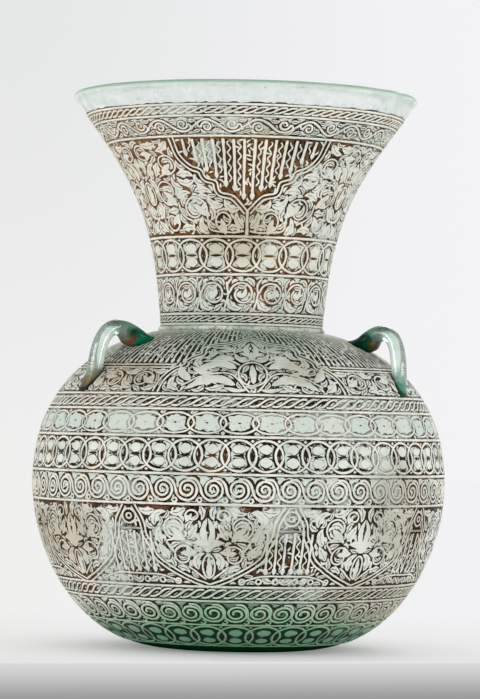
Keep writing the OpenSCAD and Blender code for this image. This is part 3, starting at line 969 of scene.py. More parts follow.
def ring_chain(cell):
    """Interlaced rings, each with two pale discs and a dark slit between them, and a bead in each corner."""
    w, h = cell.width, cell.height
    wide = 0.5 * w + 2.3
    tall = h / 2 - 0.9
    cell.ring(0, h / 2, wide, tall=tall / wide, half=0.72)
    across = 0.5 * w - 4.1
    for side in (1, -1):
        cell.disc(0, h / 2 + side * 0.42 * tall, across, 0.29 * tall)
        edge = h / 2 + side * (h / 2 - 1.5)
        reach, sag = 3.4, edge + side * 0.7
        cell.dark([(0.5 * w - reach, sag), (0.5 * w, edge), (0.5 * w + reach, sag)], 1.2)
        cell.leaf([(0.5 * w - 1, edge), (0.5 * w, edge + 0.1), (0.5 * w + 1, edge)], 0.85)
        cell.dark([(-0.6 * across, h / 2 + side * 0.72 * tall), (0, h / 2 + side * 0.84 * tall),
                   (0.6 * across, h / 2 + side * 0.72 * tall)], 0.07 * tall)
    cell.dark([(-across, h / 2), (0, h / 2), (across, h / 2)], 0.085 * tall)
    cell.dark([(w / 2, h / 2 - 0.4 * tall), (w / 2 + 0.2, h / 2), (w / 2, h / 2 + 0.4 * tall)], 0.6)


def oval_chain(cell):
    """Overlapping ovals with dark slivers where they cross, and small rings."""
    w, h = cell.width, cell.height
    cell.ring(0, h / 2, 0.6 * w, tall=0.42 * h / (0.6 * w))
    for side in (1, -1):
        cell.ring(w / 2, h / 2 + side * 0.42 * h, 0.8, half=0.45)
        cell.dark([(w / 2 + side * 0.03 * w, 0.3 * h), (w / 2 + side * 0.06 * w, h / 2),
                   (w / 2 + side * 0.03 * w, 0.7 * h)], 0.65)
    cell.dark([(-0.06 * w, h / 2), (0, h / 2), (0.06 * w, h / 2)], 0.04 * h)


def running_spiral(cell):
    """A spiral of two turns that grows out of the one before it."""
    w, h = cell.width, cell.height
    big = min(0.44 * h, 0.54 * w)
    lead = [(-0.98 * w, 0.9 * h), (-0.7 * w, 0.88 * h), (-0.5 * w, 0.66 * h)]
    turns = spiral(0.02 * w, h / 2, big, 0.1 * h, 200, 200 + 720)
    cell.line(np.vstack([lead, turns]), half=0.78)
    cell.line(arc(-0.5 * w, 0.1 * h, 0.09 * h, -160, 100))
    cell.dark([(-0.5 * w, 0.12 * h), (-0.48 * w, 0.2 * h), (-0.44 * w, 0.3 * h)], 0.06 * h)
    cell.dark([(0.36 * w, 0.95 * h), (0.46 * w, 0.9 * h), (0.5 * w, 0.78 * h)], 0.05 * h)


def leaf_roundels(cell):
    """Stems that curl into rings with a split leaf inside, and leaves between them."""
    w, h = cell.width, cell.height
    big = min(0.4 * h, 0.42 * w)
    stem = [(-0.6 * w, 0.1 * h), (-0.5 * w, 0.35 * h), (-0.46 * w, h / 2)]
    cell.line(np.vstack([stem, spiral(0, h / 2, big, 0.5 * big, 170, -230)]))
    cell.split_leaf(-0.2 * big, h / 2 - 0.3 * big, 40, 0.9 * big, 1, both=False)
    cell.line([(-0.46 * w, h / 2), (-0.5 * w, 0.74 * h), (-0.36 * w, 0.92 * h)])
    Sheet(cell, 0.6, mirrored=False).fill(1.1)


def double_outline(cell, half_outline):
    """A mirrored double line through points given in degrees and millimetres."""
    points = np.array(half_outline) * (cell.degree, 1)
    cell.line(points, both=True, half=0.62)
    cell.line(beside(points, 2.5), both=True)
    return points


def arcade(cell, first, last, low, high, pitch=5.7, half=0.75, tendril=0.0):
    """Reeds side by side, each with a leaf at its foot, and a thin waving tendril between two of them.
    low and high give foot and tip at a place along u."""
    count = max(1, round((last - first) / pitch))
    pitch = (last - first) / count
    for i in range(count):
        u = first + (i + 0.5) * pitch
        foot, tip = low(u), high(u)
        if tip - foot < 5:
            continue
        cell.line([(u, foot + 2.4), (u, (foot + tip) / 2), (u, tip)], half=half, both=True)
        cell.leaf([(u, foot + 4.2), (u, foot + 2), (u, foot - 0.4)], 0.25 * pitch, both=True)
        if tendril and i:
            v = np.arange(foot + 3, tip - 1, 1.2)
            sway = (0.5 * pitch - half - 0.75) * np.sin(TAU * v / 6.4 + i)
            cell.line(np.c_[u - pitch / 2 + sway, v], half=tendril, both=True)


def height_on(points):
    """The height of an outline at a place along u."""
    order = np.argsort(points[:, 0])
    return lambda u: float(np.interp(abs(u), points[order, 0], points[order, 1]))


def fill_field(cell, hidden):
    """Lays leaves in the gaps of a field, except where a test of u and v holds."""
    gap, smallest = 0.42, 0.9
    sheet = Sheet(cell, gap)
    sheet.fence(hidden)
    sheet.fill(smallest)


def neck_field(cell):
    """Pointed hanging panel with an arcade, between vines of split leaves."""
    h = cell.height
    d = cell.degree
    outline = [(33, h), (32, 50), (28, 43), (23, 40), (21, 35), (16, 32.5),
               (14.5, 26), (7.5, 23.5), (0, 14.5)]
    edge = double_outline(cell, outline)
    cell.line([(0, 14.5), (0, 0)], half=1.0, smooth=False)
    floor = height_on(edge)
    arcade(cell, 0, 31 * d, lambda u: floor(u) + 4.5, lambda u: h - 1.5, pitch=5.4, half=0.95, tendril=0.48)
    stems = [(2, 2.5), (7 * d, 1.6), (14 * d, 1.7)]
    cell.line(stems, both=True)
    roundels = ((13, 8.6, 6.6, -90, 1), (30, 15.5, 8.6, 200, -1), (46, 27, 8.8, 240, 1),
                (41.5, 44.5, 7.4, -60, -1), (54, 53, 6.2, 200, 1), (47, 8.2, 6.4, 150, 1))
    for u, v, radius, start, hand in roundels:
        cell.roundel(u * d, v, radius, start, hand)
    cell.line([(14 * d, 1.7), (22 * d, 3.5), (23 * d, 12)], both=True)
    cell.line([(30 * d, 7), (38 * d, 12), (40 * d, 20)], both=True)
    cell.line([(48 * d, 36), (45 * d, 37.5), (44 * d, 38)], both=True)
    cell.ring(60 * d, 26, 4.2, both=True, tall=1.7)
    cell.leaf([(60 * d, 19.5), (60 * d + 0.2, 26), (60 * d, 32.5)], 2.0, both=True)
    fill_field(cell, lambda u, v: v > floor(u) and u < 33 * d)


def shoulder_field(cell):
    """Arched vine panel, between two-tier panels with an arcade above and vines below."""
    h = cell.height
    d = cell.degree
    outline = [(0, 52.4), (8, 44), (15, 41.4), (17.8, 37.5), (17.7, 31.5), (20.6, 28),
               (22.3, 24.5), (22.6, 20), (25.6, 17.6), (28, 12.5), (29.2, 7), (29.8, 0.5)]
    edge = double_outline(cell, outline)
    roof = height_on(edge)
    cell.ring(0, 15, 7.6, tall=1.25)
    cell.leaf([(0, 7), (0.2, 14), (0, 22)], 1.8)
    for side in (1, -1):
        cell.leaf([(0, 26), (side * 1.2, 31), (side * 7.5, 33.5)], 2.0)
        cell.leaf([(0, 28), (side * 3.4, 37.5), (side * 0.4, 46)], 1.5)
    for points, half in (([(9, 6), (17, 10), (26, 8.5), (34, 2.4)], 3.0),
                         ([(8.5, 19), (17, 23), (25, 20), (31, 13)], 3.2),
                         ([(21, 15), (27, 15.5), (33, 20)], 1.8),
                         ([(10, 27), (17, 29), (23, 26)], 2.2),
                         ([(32, 9), (37, 14), (40, 20.5)], 2.4),
                         ([(3.5, 2.6), (9, 2.2), (15, 4.2)], 1.2)):
        cell.leaf(points, half, both=True)
    cell.line([(2, 1.2), (12, 14.5), (26, 12.4), (36, 5)], both=True)
    cell.line([(7, 22), (14, 26.2), (27, 25)], both=True)
    rim_low, rim_high = 19.2, 21.6
    for v in (rim_low, rim_high):
        cell.line([(28.6 * d, v), (44 * d, v), (60 * d, v)], both=True)
    arcade(cell, 5 * d, 60 * d, lambda u: max(rim_high + 1.5, roof(u) + 4.5 if u < 28 * d else 0),
           lambda u: h - 2, pitch=3.6, half=0.55)
    for u, v, radius, start, hand in ((37, 9.5, 6.8, 200, -1), (49, 9.5, 6.8, 20, 1)):
        cell.roundel(u * d, v, radius, start, hand)
    cell.split_leaf(56 * d, 4, 70, 11, 1)
    cell.line([(60 * d, 1), (60 * d, 18)], both=True, smooth=False)
    fill_field(cell, lambda u, v: v > max(roof(u), rim_low if u > 28 * d else 0))


def globe_field(cell):
    """Lobed vine medallion that hangs to a point, between arched panels with an arcade."""
    h = cell.height
    d = cell.degree
    outline = [(20.6, h), (18.2, 39), (17.5, 31), (16, 25), (14.5, 17.5), (10, 10.5), (5.2, 5), (0, 0.6)]
    edge = double_outline(cell, outline)
    floor = height_on(edge)
    cell.leaf([(0, 5), (0.2, 11), (0, 18)], 1.5)
    cell.ring(0, 12, 3.6, tall=2.0)
    for side in (1, -1):
        cell.leaf([(0, 21), (side * 3.2, 26), (side * 9.5, 26.5)], 2.0)
        cell.leaf([(0, 23), (side * 2.6, 33), (side * 0.3, 41)], 1.7)
    for roundel in ((14.5, 18.5, 6.6, 160, -1), (18.5, 35.5, 7.8, 240, 1), (8.5, 42, 4.2, -40, 1)):
        cell.roundel(*roundel)
    cell.line([(2, 4), (10, 10.5), (12, 12)], both=True)
    cell.line([(20, 21), (24, 27), (20, 28)], both=True)
    middle = 22.5 * d
    cell.ring(middle, 41, 4.2, both=True)
    cell.ring(middle, 41, 1.6, both=True)
    cell.line([(middle - 8, 34), (middle, 34), (middle + 8, 34)], both=True)
    arcade(cell, 15 * d, middle, lambda u: 8.0, lambda u: 32.5, tendril=0.45)
    cell.line([(9 * d, 2.2), (15 * d, 6.2), (middle, 6.6)], both=True)
    for u in (9.5, 14.5, 19.5):
        cell.ring(u * d, 2.6 if u < 12 else 3.0, 1.7, both=True)
    fill_field(cell, lambda u, v: v < floor(u) and u < 20.6 * d and v > 7 and u > 12 * d)


def draw_sprig():
    """The small leaf that fills gaps between stems and leaves, and the brown patch that it lies on."""
    sprig = Cell(2.0, 2.0, 1.0, 0.5)
    sprig.leaf([(-1.5, -0.25), (0, 0.2), (1.5, -0.25)], 0.6)
    patch = Cell(2.0, 2.0, 1.0, 1.35)
    patch.line([(-0.5, 0), (0, 0.1), (0.5, 0)])
    return curve_object("gap_sprig", sprig.leaves), curve_object("gap_patch", patch.lines)


# Ornament, laid round the lamp


def tree_inputs(name, sockets):
    """A geometry tree with named inputs: its graph, its input wires and its output node."""
    tree = bpy.data.node_groups.new(name, "GeometryNodeTree")
    for socket, kind in sockets.items():
        tree.interface.new_socket(socket, in_out="INPUT", socket_type="NodeSocket" + kind)
    tree.interface.new_socket("Geometry", in_out="OUTPUT", socket_type="NodeSocketGeometry")
    graph = Graph(tree)
    start = tree.nodes.new("NodeGroupInput")
    wires = {socket: Wire(graph, start.outputs[socket]) for socket in sockets}
    return graph, wires, tree.nodes.new("NodeGroupOutput")


WRAP = {"Wall": "Object", "Turn Width": "Float", "Start Angle": "Float", "Low Length": "Float"}


def on_wall(graph, wires, wall, lift):
    """Where a flat point u, v lies on the wall at a height over it, and which way the wall faces."""
    u, v, _ = graph.split(graph.node("GeometryNodeInputPosition"))
    angle = wires["Start Angle"] + u / wires["Turn Width"] * TAU
    sample = graph.node("GeometryNodeSampleCurve", {"mode": "LENGTH", "use_all_curves": True},
                        {"Curves": wall, "Length": v + wires["Low Length"]}, "Position")
    radius, _, height = graph.split(sample)
    lean, _, rise = graph.split(sample.out("Tangent"))
    sine, cosine = angle.math("SINE"), angle.math("COSINE")
    reach = radius + rise * lift
    place = graph.join(reach * sine, reach * cosine * -1, height - lean * lift)
    return place, graph.join(rise * sine, rise * cosine * -1, lean * -1)


def stroke_tree():
    """Repeats flat strokes round the lamp, strays from them by hand, and lays them on the wall."""
    sockets = dict.fromkeys(("Lines", "Leaves", "Darks", "Sprig"), "Object")
    sockets |= WRAP
    sockets |= dict.fromkeys(("Cell Width", "Cell Height", "Sprig Spacing", "Line Gap", "Leaf Gap",
                              "Spread", "Rise", "Leaf Lift", "Dark Lift", "Wobble"), "Float")
    sockets |= dict.fromkeys(("Repeats", "Seed"), "Int")
    for label in ("Line", "Leaf", "Dark"):
        sockets |= {label + " Flatness": "Float", label + " Sides": "Int", label + " Material": "Material"}
    graph, wires, end = tree_inputs("laid_strokes", sockets)
    wall = graph.shape(wires["Wall"])
    row = graph.node("GeometryNodeMeshLine", {"mode": "OFFSET"},
                     {"Count": wires["Repeats"], "Offset": graph.join(wires["Cell Width"])})
    placed = {}
    for kind in ("Lines", "Leaves", "Darks"):
        motif = graph.shape(wires[kind])
        copies = graph.node("GeometryNodeInstanceOnPoints", None, {"Points": row, "Instance": motif})
        placed[kind] = graph.real(copies)
    placed["Lines"] = graph.node(
        "GeometryNodeJoinGeometry", None, {0: [placed["Lines"], gap_sprigs(graph, wires, placed)]})
    # How fine the straying of the brush is, and the change of its pressure
    stray_scale, press_scale = 190.0, 330.0
    parts = []
    for kind, label in (("Lines", "Line"), ("Leaves", "Leaf"), ("Darks", "Dark")):
        spot, _ = on_wall(graph, wires, wall, 0.0)
        shift = graph.join(wires["Seed"], wires["Seed"], wires["Seed"])
        spot = graph.moved(graph.scaled(spot, stray_scale), shift)
        stray = graph.moved(graph.noise(spot, 1.0, 1.0, output=1), (-0.5, -0.5, -0.5))
        stray_u, stray_v, _ = graph.split(graph.scaled(stray, wires["Wobble"] * 2.0))
        flat = graph.node("GeometryNodeSetPosition", None,
                          {"Geometry": placed[kind], "Offset": graph.join(stray_u, stray_v)})
        rise = wires["Rise"] if label == "Line" else wires["Rise"] + wires[label + " Lift"]
        place, facing = on_wall(graph, wires, wall, rise)
        vector = {"data_type": "FLOAT_VECTOR"}
        stored = graph.node("GeometryNodeStoreNamedAttribute", {**vector, "domain": "POINT"},
                            {"Geometry": flat, "Name": "facing", "Value": facing})
        bent = graph.node("GeometryNodeSetPosition", None, {"Geometry": stored, "Position": place})
        kept = graph.node("GeometryNodeInputNamedAttribute", vector, {"Name": "facing"})
        bent = graph.node("GeometryNodeSetCurveNormal", {"mode": "FREE"}, {"Curve": bent, "Normal": kept})
        press = graph.noise(graph.node("GeometryNodeInputPosition"), press_scale, 1.0)
        press = graph.ease(press, 0.3, 0.7)
        wide = graph.node("GeometryNodeInputRadius") * (press * 0.3 + 0.85)
        if label != "Dark":
            wide = wide + wires["Spread"] * (press * 1.7 + 0.15)
        section = graph.node("GeometryNodeCurvePrimitiveCircle", {"mode": "RADIUS"},
                             {"Resolution": wires[label + " Sides"], "Radius": 1.0})
        squeeze = graph.join(wires[label + " Flatness"], 1.0, 1.0)
        section = graph.node("GeometryNodeTransform", None, {"Geometry": section, "Scale": squeeze})
        solid = graph.node("GeometryNodeCurveToMesh", None,
                           {"Curve": bent, "Profile Curve": section, "Scale": wide, "Fill Caps": True})
        solid = graph.node("GeometryNodeSetShadeSmooth", None,
                           {"Geometry": solid, "Shade Smooth": label == "Line"})
        parts.append(graph.node("GeometryNodeSetMaterial", None,
                                {"Geometry": solid, "Material": wires[label + " Material"]}))
    whole = graph.node("GeometryNodeJoinGeometry", None, {0: parts})
    whole = graph.real(whole)
    graph.tree.links.new(whole.socket, end.inputs["Geometry"])
    return graph.tree


def gap_sprigs(graph, wires, placed):
    """Small leaves at random places that are clear of the lines and leaves."""
    width, height = wires["Turn Width"], wires["Cell Height"]
    most_dense, smallest, largest = 600000.0, 0.9, 1.4
    sheet = graph.node("GeometryNodeMeshGrid", None,
                       {"Size X": width, "Size Y": height, "Vertices X": 2, "Vertices Y": 2})
    middle = graph.join(width * 0.5 - wires["Cell Width"] * 0.5, height * 0.5)
    sheet = graph.node("GeometryNodeTransform", None, {"Geometry": sheet, "Translation": middle})
    points = graph.node("GeometryNodeDistributePointsOnFaces", {"distribute_method": "POISSON"},
                        {"Mesh": sheet, "Distance Min": wires["Sprig Spacing"], "Density Max": most_dense,
                         "Seed": wires["Seed"]})
    crowded = None
    for kind, gap in (("Lines", "Line Gap"), ("Leaves", "Leaf Gap")):
        bare = graph.node("GeometryNodeCurveToMesh", None, {"Curve": placed[kind]})
        near = graph.node("GeometryNodeProximity", {"target_element": "EDGES"}, {0: bare}, "Distance")
        close = near.math("LESS_THAN", wires[gap]) * near.out("Is Valid")
        crowded = close if crowded is None else crowded + close
    _, v, _ = graph.split(graph.node("GeometryNodeInputPosition"))
    edge = v.math("LESS_THAN", wires["Line Gap"]) + (v > height - wires["Line Gap"])
    points = graph.node("GeometryNodeDeleteGeometry", {"domain": "POINT"},
                        {"Geometry": points, "Selection": (crowded + edge) > 0.5})
    sprig = graph.shape(wires["Sprig"])
    spin, size = (graph.node("FunctionNodeRandomValue", {"data_type": "FLOAT"},
                             {2: low, 3: high, "Seed": wires["Seed"]}, 1)
                  for low, high in ((0.0, TAU), (smallest, largest)))
    turned = graph.join(0.0, 0.0, spin)
    copies = graph.node("GeometryNodeInstanceOnPoints", None,
                        {"Points": points, "Instance": sprig, "Rotation": turned,
                         "Scale": graph.join(size, size, size)})
    return graph.real(copies)


def ground_tree():
    """A thin closed skin that follows the wall over the height of a band."""
    sockets = {**WRAP, "Height": "Float", "Low Rise": "Float", "High Rise": "Float", "Around": "Int",
               "Up": "Int", "Material": "Material"}
    graph, wires, end = tree_inputs("laid_ground", sockets)
    wall = graph.shape(wires["Wall"])
    sheet = graph.node("GeometryNodeMeshGrid", None,
                       {"Size X": wires["Turn Width"], "Size Y": wires["Height"],
                        "Vertices X": wires["Around"] + 1, "Vertices Y": wires["Up"] + 1})
    middle = graph.join(0.0, wires["Height"] * 0.5, wires["Low Rise"])
    sheet = graph.node("GeometryNodeTransform", None, {"Geometry": sheet, "Translation": middle})
    upper = graph.node("GeometryNodeExtrudeMesh", {"mode": "FACES"},
                       {"Mesh": sheet, "Offset": graph.join(0.0, 0.0, 1.0), "Individual": False,
                        "Offset Scale": wires["High Rise"] - wires["Low Rise"]})
    lower = graph.node("GeometryNodeFlipFaces", None, {0: sheet})
    skin = graph.node("GeometryNodeJoinGeometry", None, {0: [upper, lower]})
    _, _, lift = graph.split(graph.node("GeometryNodeInputPosition"))
    place, _ = on_wall(graph, wires, wall, lift)
    skin = graph.node("GeometryNodeSetPosition", None, {"Geometry": skin, "Position": place})
    skin = graph.node("GeometryNodeMergeByDistance", None, {"Geometry": skin, "Distance": 0.01 * MM})
    skin = graph.real(skin)
    skin = graph.node("GeometryNodeSetMaterial", None, {"Geometry": skin, "Material": wires["Material"]})
    graph.tree.links.new(skin.socket, end.inputs["Geometry"])
    return graph.tree


def grow(name, tree, values):
    """A plain mesh piece from a geometry tree and the values of its named inputs."""
    sockets = {item.name: item.identifier for item in tree.interface.items_tree if item.in_out == "INPUT"}
    holder = new_object(name, bpy.data.meshes.new(name + "_seed"))
    modifier = holder.modifiers.new("grow", "NODES")
    modifier.node_group = tree
    for socket, value in values.items():
        modifier[sockets[socket]] = value
    view = bpy.context.evaluated_depsgraph_get()
    mesh = bpy.data.meshes.new_from_object(
        holder.evaluated_get(view), preserve_all_data_layers=True, depsgraph=view)
    holder.modifiers.clear()
    seed_mesh = holder.data
    holder.data = mesh
    bpy.data.meshes.remove(seed_mesh)
    mesh.name = name
    if not len(mesh.polygons):
        raise RuntimeError(f"{name} came out empty")
    face_outwards(mesh)
    return holder


class Workshop:
    """What the operators share: walls, node trees, materials and the sprig."""

    def __init__(self, scene):
        enamel, glass = scene.lamp_enamel, scene.lamp_glass
        self.globe_walls = node_section("globe", centre_z=0.1)
        self.neck_walls = node_section("neck")
        outer = self.globe_walls[0]
        radii, heights = outer.T
        # Enamel lies outside the standing ring, and above the shoulder only outside the neck
        ring_radius, neck_radius, shoulder_height = 0.0405, 0.0479, 0.18
        outside = (radii > ring_radius) & (radii >= neck_radius * (heights > shoulder_height))
        self.globe = Wall("globe_wall", outer[outside])
        self.neck = Wall("neck_wall", self.neck_walls[0])
        self.strokes = stroke_tree()
        self.grounds = ground_tree()
        self.sprig, self.patch = draw_sprig()
        self.blank = curve_object("blank_strokes", [])
        self.pale = pale_enamel("pale_enamel", tuple(enamel.pale), srgb(128, 178, 136), srgb(84, 144, 100))
        self.leaf = pale_enamel("leaf_enamel", tuple(enamel.leaf), srgb(88, 164, 124), srgb(66, 146, 108))
        self.brown = brown_enamel(enamel)
        self.ground = worn_ground(enamel)
        self.field = field_ground(enamel)
        self.lamp_glass = lamp_glass(glass)
        self.handle_glass = handle_glass(glass, self.globe)

    def drawing_aids(self):
        """Curves that only the node trees read."""
        return [self.globe.curve, self.neck.curve, self.sprig, self.patch, self.blank]


WORKSHOP = {}


def workshop():
    """The shared workshop, made at first use."""
    if "shared" not in WORKSHOP:
        WORKSHOP["shared"] = Workshop(bpy.context.scene)
    return WORKSHOP["shared"]


def lay_strokes(name, wall, drawn, values, outline, relief=None, spread=1.0):
    """One piece of strokes on a wall: the brown outline under them, or the pale relief itself."""
    shop = workshop()
    enamel = bpy.context.scene.lamp_enamel
    lines, leaves, darks, veins = drawn
    shared = {"Lines": lines, "Leaves": leaves, "Wall": wall.curve, "Seed": enamel.seed,
              "Wobble": enamel.wobble, "Leaf Sides": 4, "Dark Sides": 4, "Dark Material": shop.brown,
              **values}
    if outline:
        shared |= {"Darks": darks, "Sprig": shop.patch, "Spread": enamel.outline_width * spread,
                   "Rise": enamel.outline_rise, "Leaf Lift": 0.0, "Dark Lift": 0.0, "Line Sides": 4,
                   "Line Flatness": 0.01, "Leaf Flatness": 0.01, "Dark Flatness": 0.02,
                   "Line Material": shop.brown, "Leaf Material": shop.brown}
    else:
        shared |= {"Darks": veins, "Sprig": shop.sprig, "Spread": 0.0,
                   "Rise": enamel.line_rise, "Leaf Lift": 0.08 * MM, "Dark Lift": 0.15 * MM, "Line Sides": 6,
                   "Line Flatness": 0.42, "Leaf Flatness": 0.06, "Dark Flatness": 0.3,
                   "Line Material": shop.pale, "Leaf Material": shop.leaf, **(relief or {})}
    return grow(name, shop.strokes, shared)


def lay_band(node, draw, repeats, start=0.0, sprigs=0.0, ground=None, spread=1.0):
    """The ground, brown outline and pale relief of one band, at the height of its node."""
    shop = workshop()
    wall = shop.neck if node.startswith("neck") else shop.globe
    enamel = bpy.context.scene.lamp_enamel
    low, high = (corner.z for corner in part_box(node))
    low_length, high_length = wall.length_at(low), wall.length_at(high)
    height = high_length - low_length
    radius = wall.radius_at((low + high) / 2)
    turn = TAU * radius
    cell = Cell(turn / repeats / MM, height / MM, radius / MM, enamel.line_width / 2 / MM)
    draw(cell)
    kinds = ("lines", "leaves", "darks", "veins")
    drawn = [curve_object(f"{node}_{kind}", getattr(cell, kind)) for kind in kinds]
    wrap = {"Turn Width": turn, "Start Angle": math.radians(start), "Low Length": low_length}
    face_height = 2.5 * MM
    skin = {**wrap, "Wall": wall.curve, "Height": height, "Low Rise": 0.06 * MM,
            "High Rise": enamel.ground_rise, "Around": AROUND, "Up": max(3, round(height / face_height)),
            "Material": ground or shop.ground}
    coat = grow(node + "_ground", shop.grounds, skin)
    coat.data.shade_smooth()
    dress(coat, None, "lamp", "enamel_ground", node)
    values = {**wrap, "Repeats": repeats, "Cell Width": turn / repeats, "Cell Height": height,
              "Sprig Spacing": sprigs * MM if sprigs else 1.0, "Line Gap": 1.3 * MM, "Leaf Gap": 1.6 * MM}
    for kind, slot in LAYERS:
        piece = lay_strokes(f"{node}_{kind}", wall, drawn, values, kind == "outline", spread=spread)
        dress(piece, None, "lamp", slot)
    for aid in drawn:
        bpy.data.objects.remove(aid)


# Operators


class LampOperator:
    """What every operator of the lamp shares."""

    bl_options = {"REGISTER", "UNDO"}


class LAMP_OT_glass(LampOperator, Operator):
    """Blow the globe and the flared neck"""

    bl_idname = "lamp.glass"
    bl_label = "Glass Globe and Neck"

    def execute(self, context):
        shop = workshop()
        outer, inner = shop.globe_walls
        section = np.vstack([[(0.0, outer[0, 1])], outer, inner[::-1], [(0.0, inner[0, 1])]])
        globe = lathe("globe_glass", section, AROUND, closed=False)
        globe.data.set_sharp_from_angle(angle=math.radians(35))
        dress(globe, shop.lamp_glass, "lamp", "lamp_glass", "globe")
        outer, inner = shop.neck_walls
        neck = lathe("neck_glass", np.vstack([outer, inner[::-1]]), AROUND, closed=True)
        neck.data.set_sharp_from_angle(angle=math.radians(50))
        dress(neck, shop.lamp_glass, "lamp", "lamp_glass", "neck")
        paint(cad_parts["neck_thread"].data, joint_skin(context.scene.lamp_enamel))
        return {"FINISHED"}


class LAMP_OT_handles(LampOperator, Operator):
    """Draw out the three applied handles"""

    bl_idname = "lamp.handles"
    bl_label = "Glass Handles"

    def execute(self, context):
        shop = workshop()
        for node in ("handle_left", "handle_right", "handle_back"):
            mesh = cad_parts[node].data.copy()
            mesh.name = node + "_glass"
            form = bmesh.new()
            form.from_mesh(mesh)
            bmesh.ops.remove_doubles(form, verts=form.verts, dist=0.01 * MM)
            bmesh.ops.join_triangles(
                form, faces=form.faces, angle_face_threshold=0.7, angle_shape_threshold=0.7)
            form.to_mesh(mesh)
            form.free()
            mesh.shade_smooth()
            piece = new_object(node + "_glass", mesh)
            soft = piece.modifiers.new("soft", "SUBSURF")
            soft.levels = soft.render_levels = 2
            dress(piece, shop.handle_glass, "lamp", "handle_glass", node)
        return {"FINISHED"}


class LAMP_OT_borders(LampOperator, Operator):
    """Lay the raised lines between the bands"""

    bl_idname = "lamp.borders"
    bl_label = "Raised Lines"

    def execute(self, context):
        shop = workshop()
        enamel = context.scene.lamp_enamel
        borders = (("neck_raised_lines", shop.neck, 0.07), ("globe_raised_lines", shop.globe, 0.115))
        for node, wall, radius in borders:
            turn = TAU * radius
            u = np.linspace(0, turn / MM, 600)
            rings = Cell(turn / MM, 1.0, radius / MM, enamel.border_width / 2 / MM)
            for height in line_heights(node):
                rings.line(np.c_[u, np.full(len(u), wall.length_at(height) / MM)], smooth=False)
            lines = curve_object(node + "_lines", rings.lines)
            values = {"Turn Width": turn, "Start Angle": math.pi, "Low Length": 0.0, "Repeats": 1,
                      "Cell Width": turn, "Cell Height": 1 * MM, "Sprig Spacing": 1.0, "Line Gap": 1.0,
                      "Leaf Gap": 1.0, "Wobble": 0.6 * enamel.wobble}
            low_line = {"Line Flatness": 0.36}
            for kind, slot in LAYERS:
                piece = lay_strokes(f"{node}_{kind}", wall, (lines, *[shop.blank] * 3), values,
                                    kind == "outline", low_line, spread=0.6)
                dress(piece, None, "lamp", slot, *([node] if kind == "relief" else []))
            bpy.data.objects.remove(lines)
        return {"FINISHED"}


def line_heights(node):
    """The heights of the rings in a node of raised lines."""
    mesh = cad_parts[node].data
    heights = np.sort(np.unique(np.round([v.co.z for v in mesh.vertices], 5)))
    between_rings = 1.2 * MM
    groups = np.split(heights, np.flatnonzero(np.diff(heights) > between_rings) + 1)
    return [float(group.mean()) for group in groups]


class LAMP_OT_ropes(LampOperator, Operator):
    """Paint the rope bands"""

    bl_idname = "lamp.ropes"
    bl_label = "Rope Bands"

    def execute(self, context):
        for node, repeats in (("neck_rope_upper", 100), ("neck_rope_lower", 62),
                              ("globe_rope_upper", 110), ("globe_rope_lower", 104)):
            lay_band(node, rope, repeats, spread=0.8)
        return {"FINISHED"}


class LAMP_OT_chains(LampOperator, Operator):
    """Paint the bands of interlaced rings and ovals"""

    bl_idname = "lamp.chains"
    bl_label = "Ring Bands"

    def execute(self, context):
        for node, draw, repeats in (("neck_ring_chain", ring_chain, 21),
                                    ("globe_ring_chain_upper", ring_chain, 50),
                                    ("globe_ring_chain_lower", ring_chain, 32),
                                    ("globe_oval_band", oval_chain, 40)):
            lay_band(node, draw, repeats)
        return {"FINISHED"}


class LAMP_OT_scrolls(LampOperator, Operator):
    """Paint the bands of running scrolls and roundels"""

    bl_idname = "lamp.scrolls"
    bl_label = "Scroll Bands"

    def execute(self, context):
        lay_band("neck_scroll_band", wave_scroll, 18, spread=0.85)
        lay_band("neck_vine_band", leaf_roundels, 18, sprigs=2.9)
        lay_band("globe_spiral_upper", running_spiral, 53)
        lay_band("globe_spiral_lower", running_spiral, 46, spread=1.5)
        return {"FINISHED"}


class LAMP_OT_fields(LampOperator, Operator):
    """Paint the three tall fields of panels and vines"""

    bl_idname = "lamp.fields"
    bl_label = "Panel Fields"

    def execute(self, context):
        brown = workshop().field
        lay_band("neck_medallion_band", neck_field, 3, start=2.0, sprigs=2.0, ground=brown)
        lay_band("shoulder_medallion_band", shoulder_field, 3, start=4.0, sprigs=2.4, spread=1.5)
        lay_band("globe_medallion_band", globe_field, 8, start=-8.0, sprigs=2.1, ground=brown)
        return {"FINISHED"}


class LAMP_OT_light(LampOperator, Operator):
    """Finish the oil cup, the bronze wick holder and the wick"""

    bl_idname = "lamp.light"
    bl_label = "Oil Cup and Wick"

    def execute(self, context):
        metal = bronze()
        for node, finish in (("oil_cup", cup_glass()), ("wick_bridge", metal), ("wick_tube", metal)):
            paint(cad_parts[node].data, finish)
        low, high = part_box("wick")
        count, twists, strand_radius, clearance, end_gap = 3, 5.5, 1.36 * MM, 0.06 * MM, 0.5 * MM
        t = np.linspace(0, 1, 90)
        reach = (high.x - low.x) / 2 - strand_radius - clearance
        height = low.z + end_gap + t * (high.z - low.z - 2 * end_gap)
        strands = []
        for strand in range(count):
            turn = TAU * (t * twists + strand / count)
            strands.append(np.c_[reach * np.cos(turn), reach * np.sin(turn), height, 0 * t + 1])
        path = curve_object("wick_strands", strands)
        path.data.bevel_depth = strand_radius
        path.data.bevel_resolution = 3
        path.data.use_fill_caps = True
        view = context.evaluated_depsgraph_get()
        mesh = bpy.data.meshes.new_from_object(path.evaluated_get(view), depsgraph=view)
        bpy.data.objects.remove(path)
        face_outwards(mesh)
        mesh.shade_smooth()
        dress(new_object("cotton_wick", mesh), cotton(), "wick", "cotton", "wick")
        return {"FINISHED"}


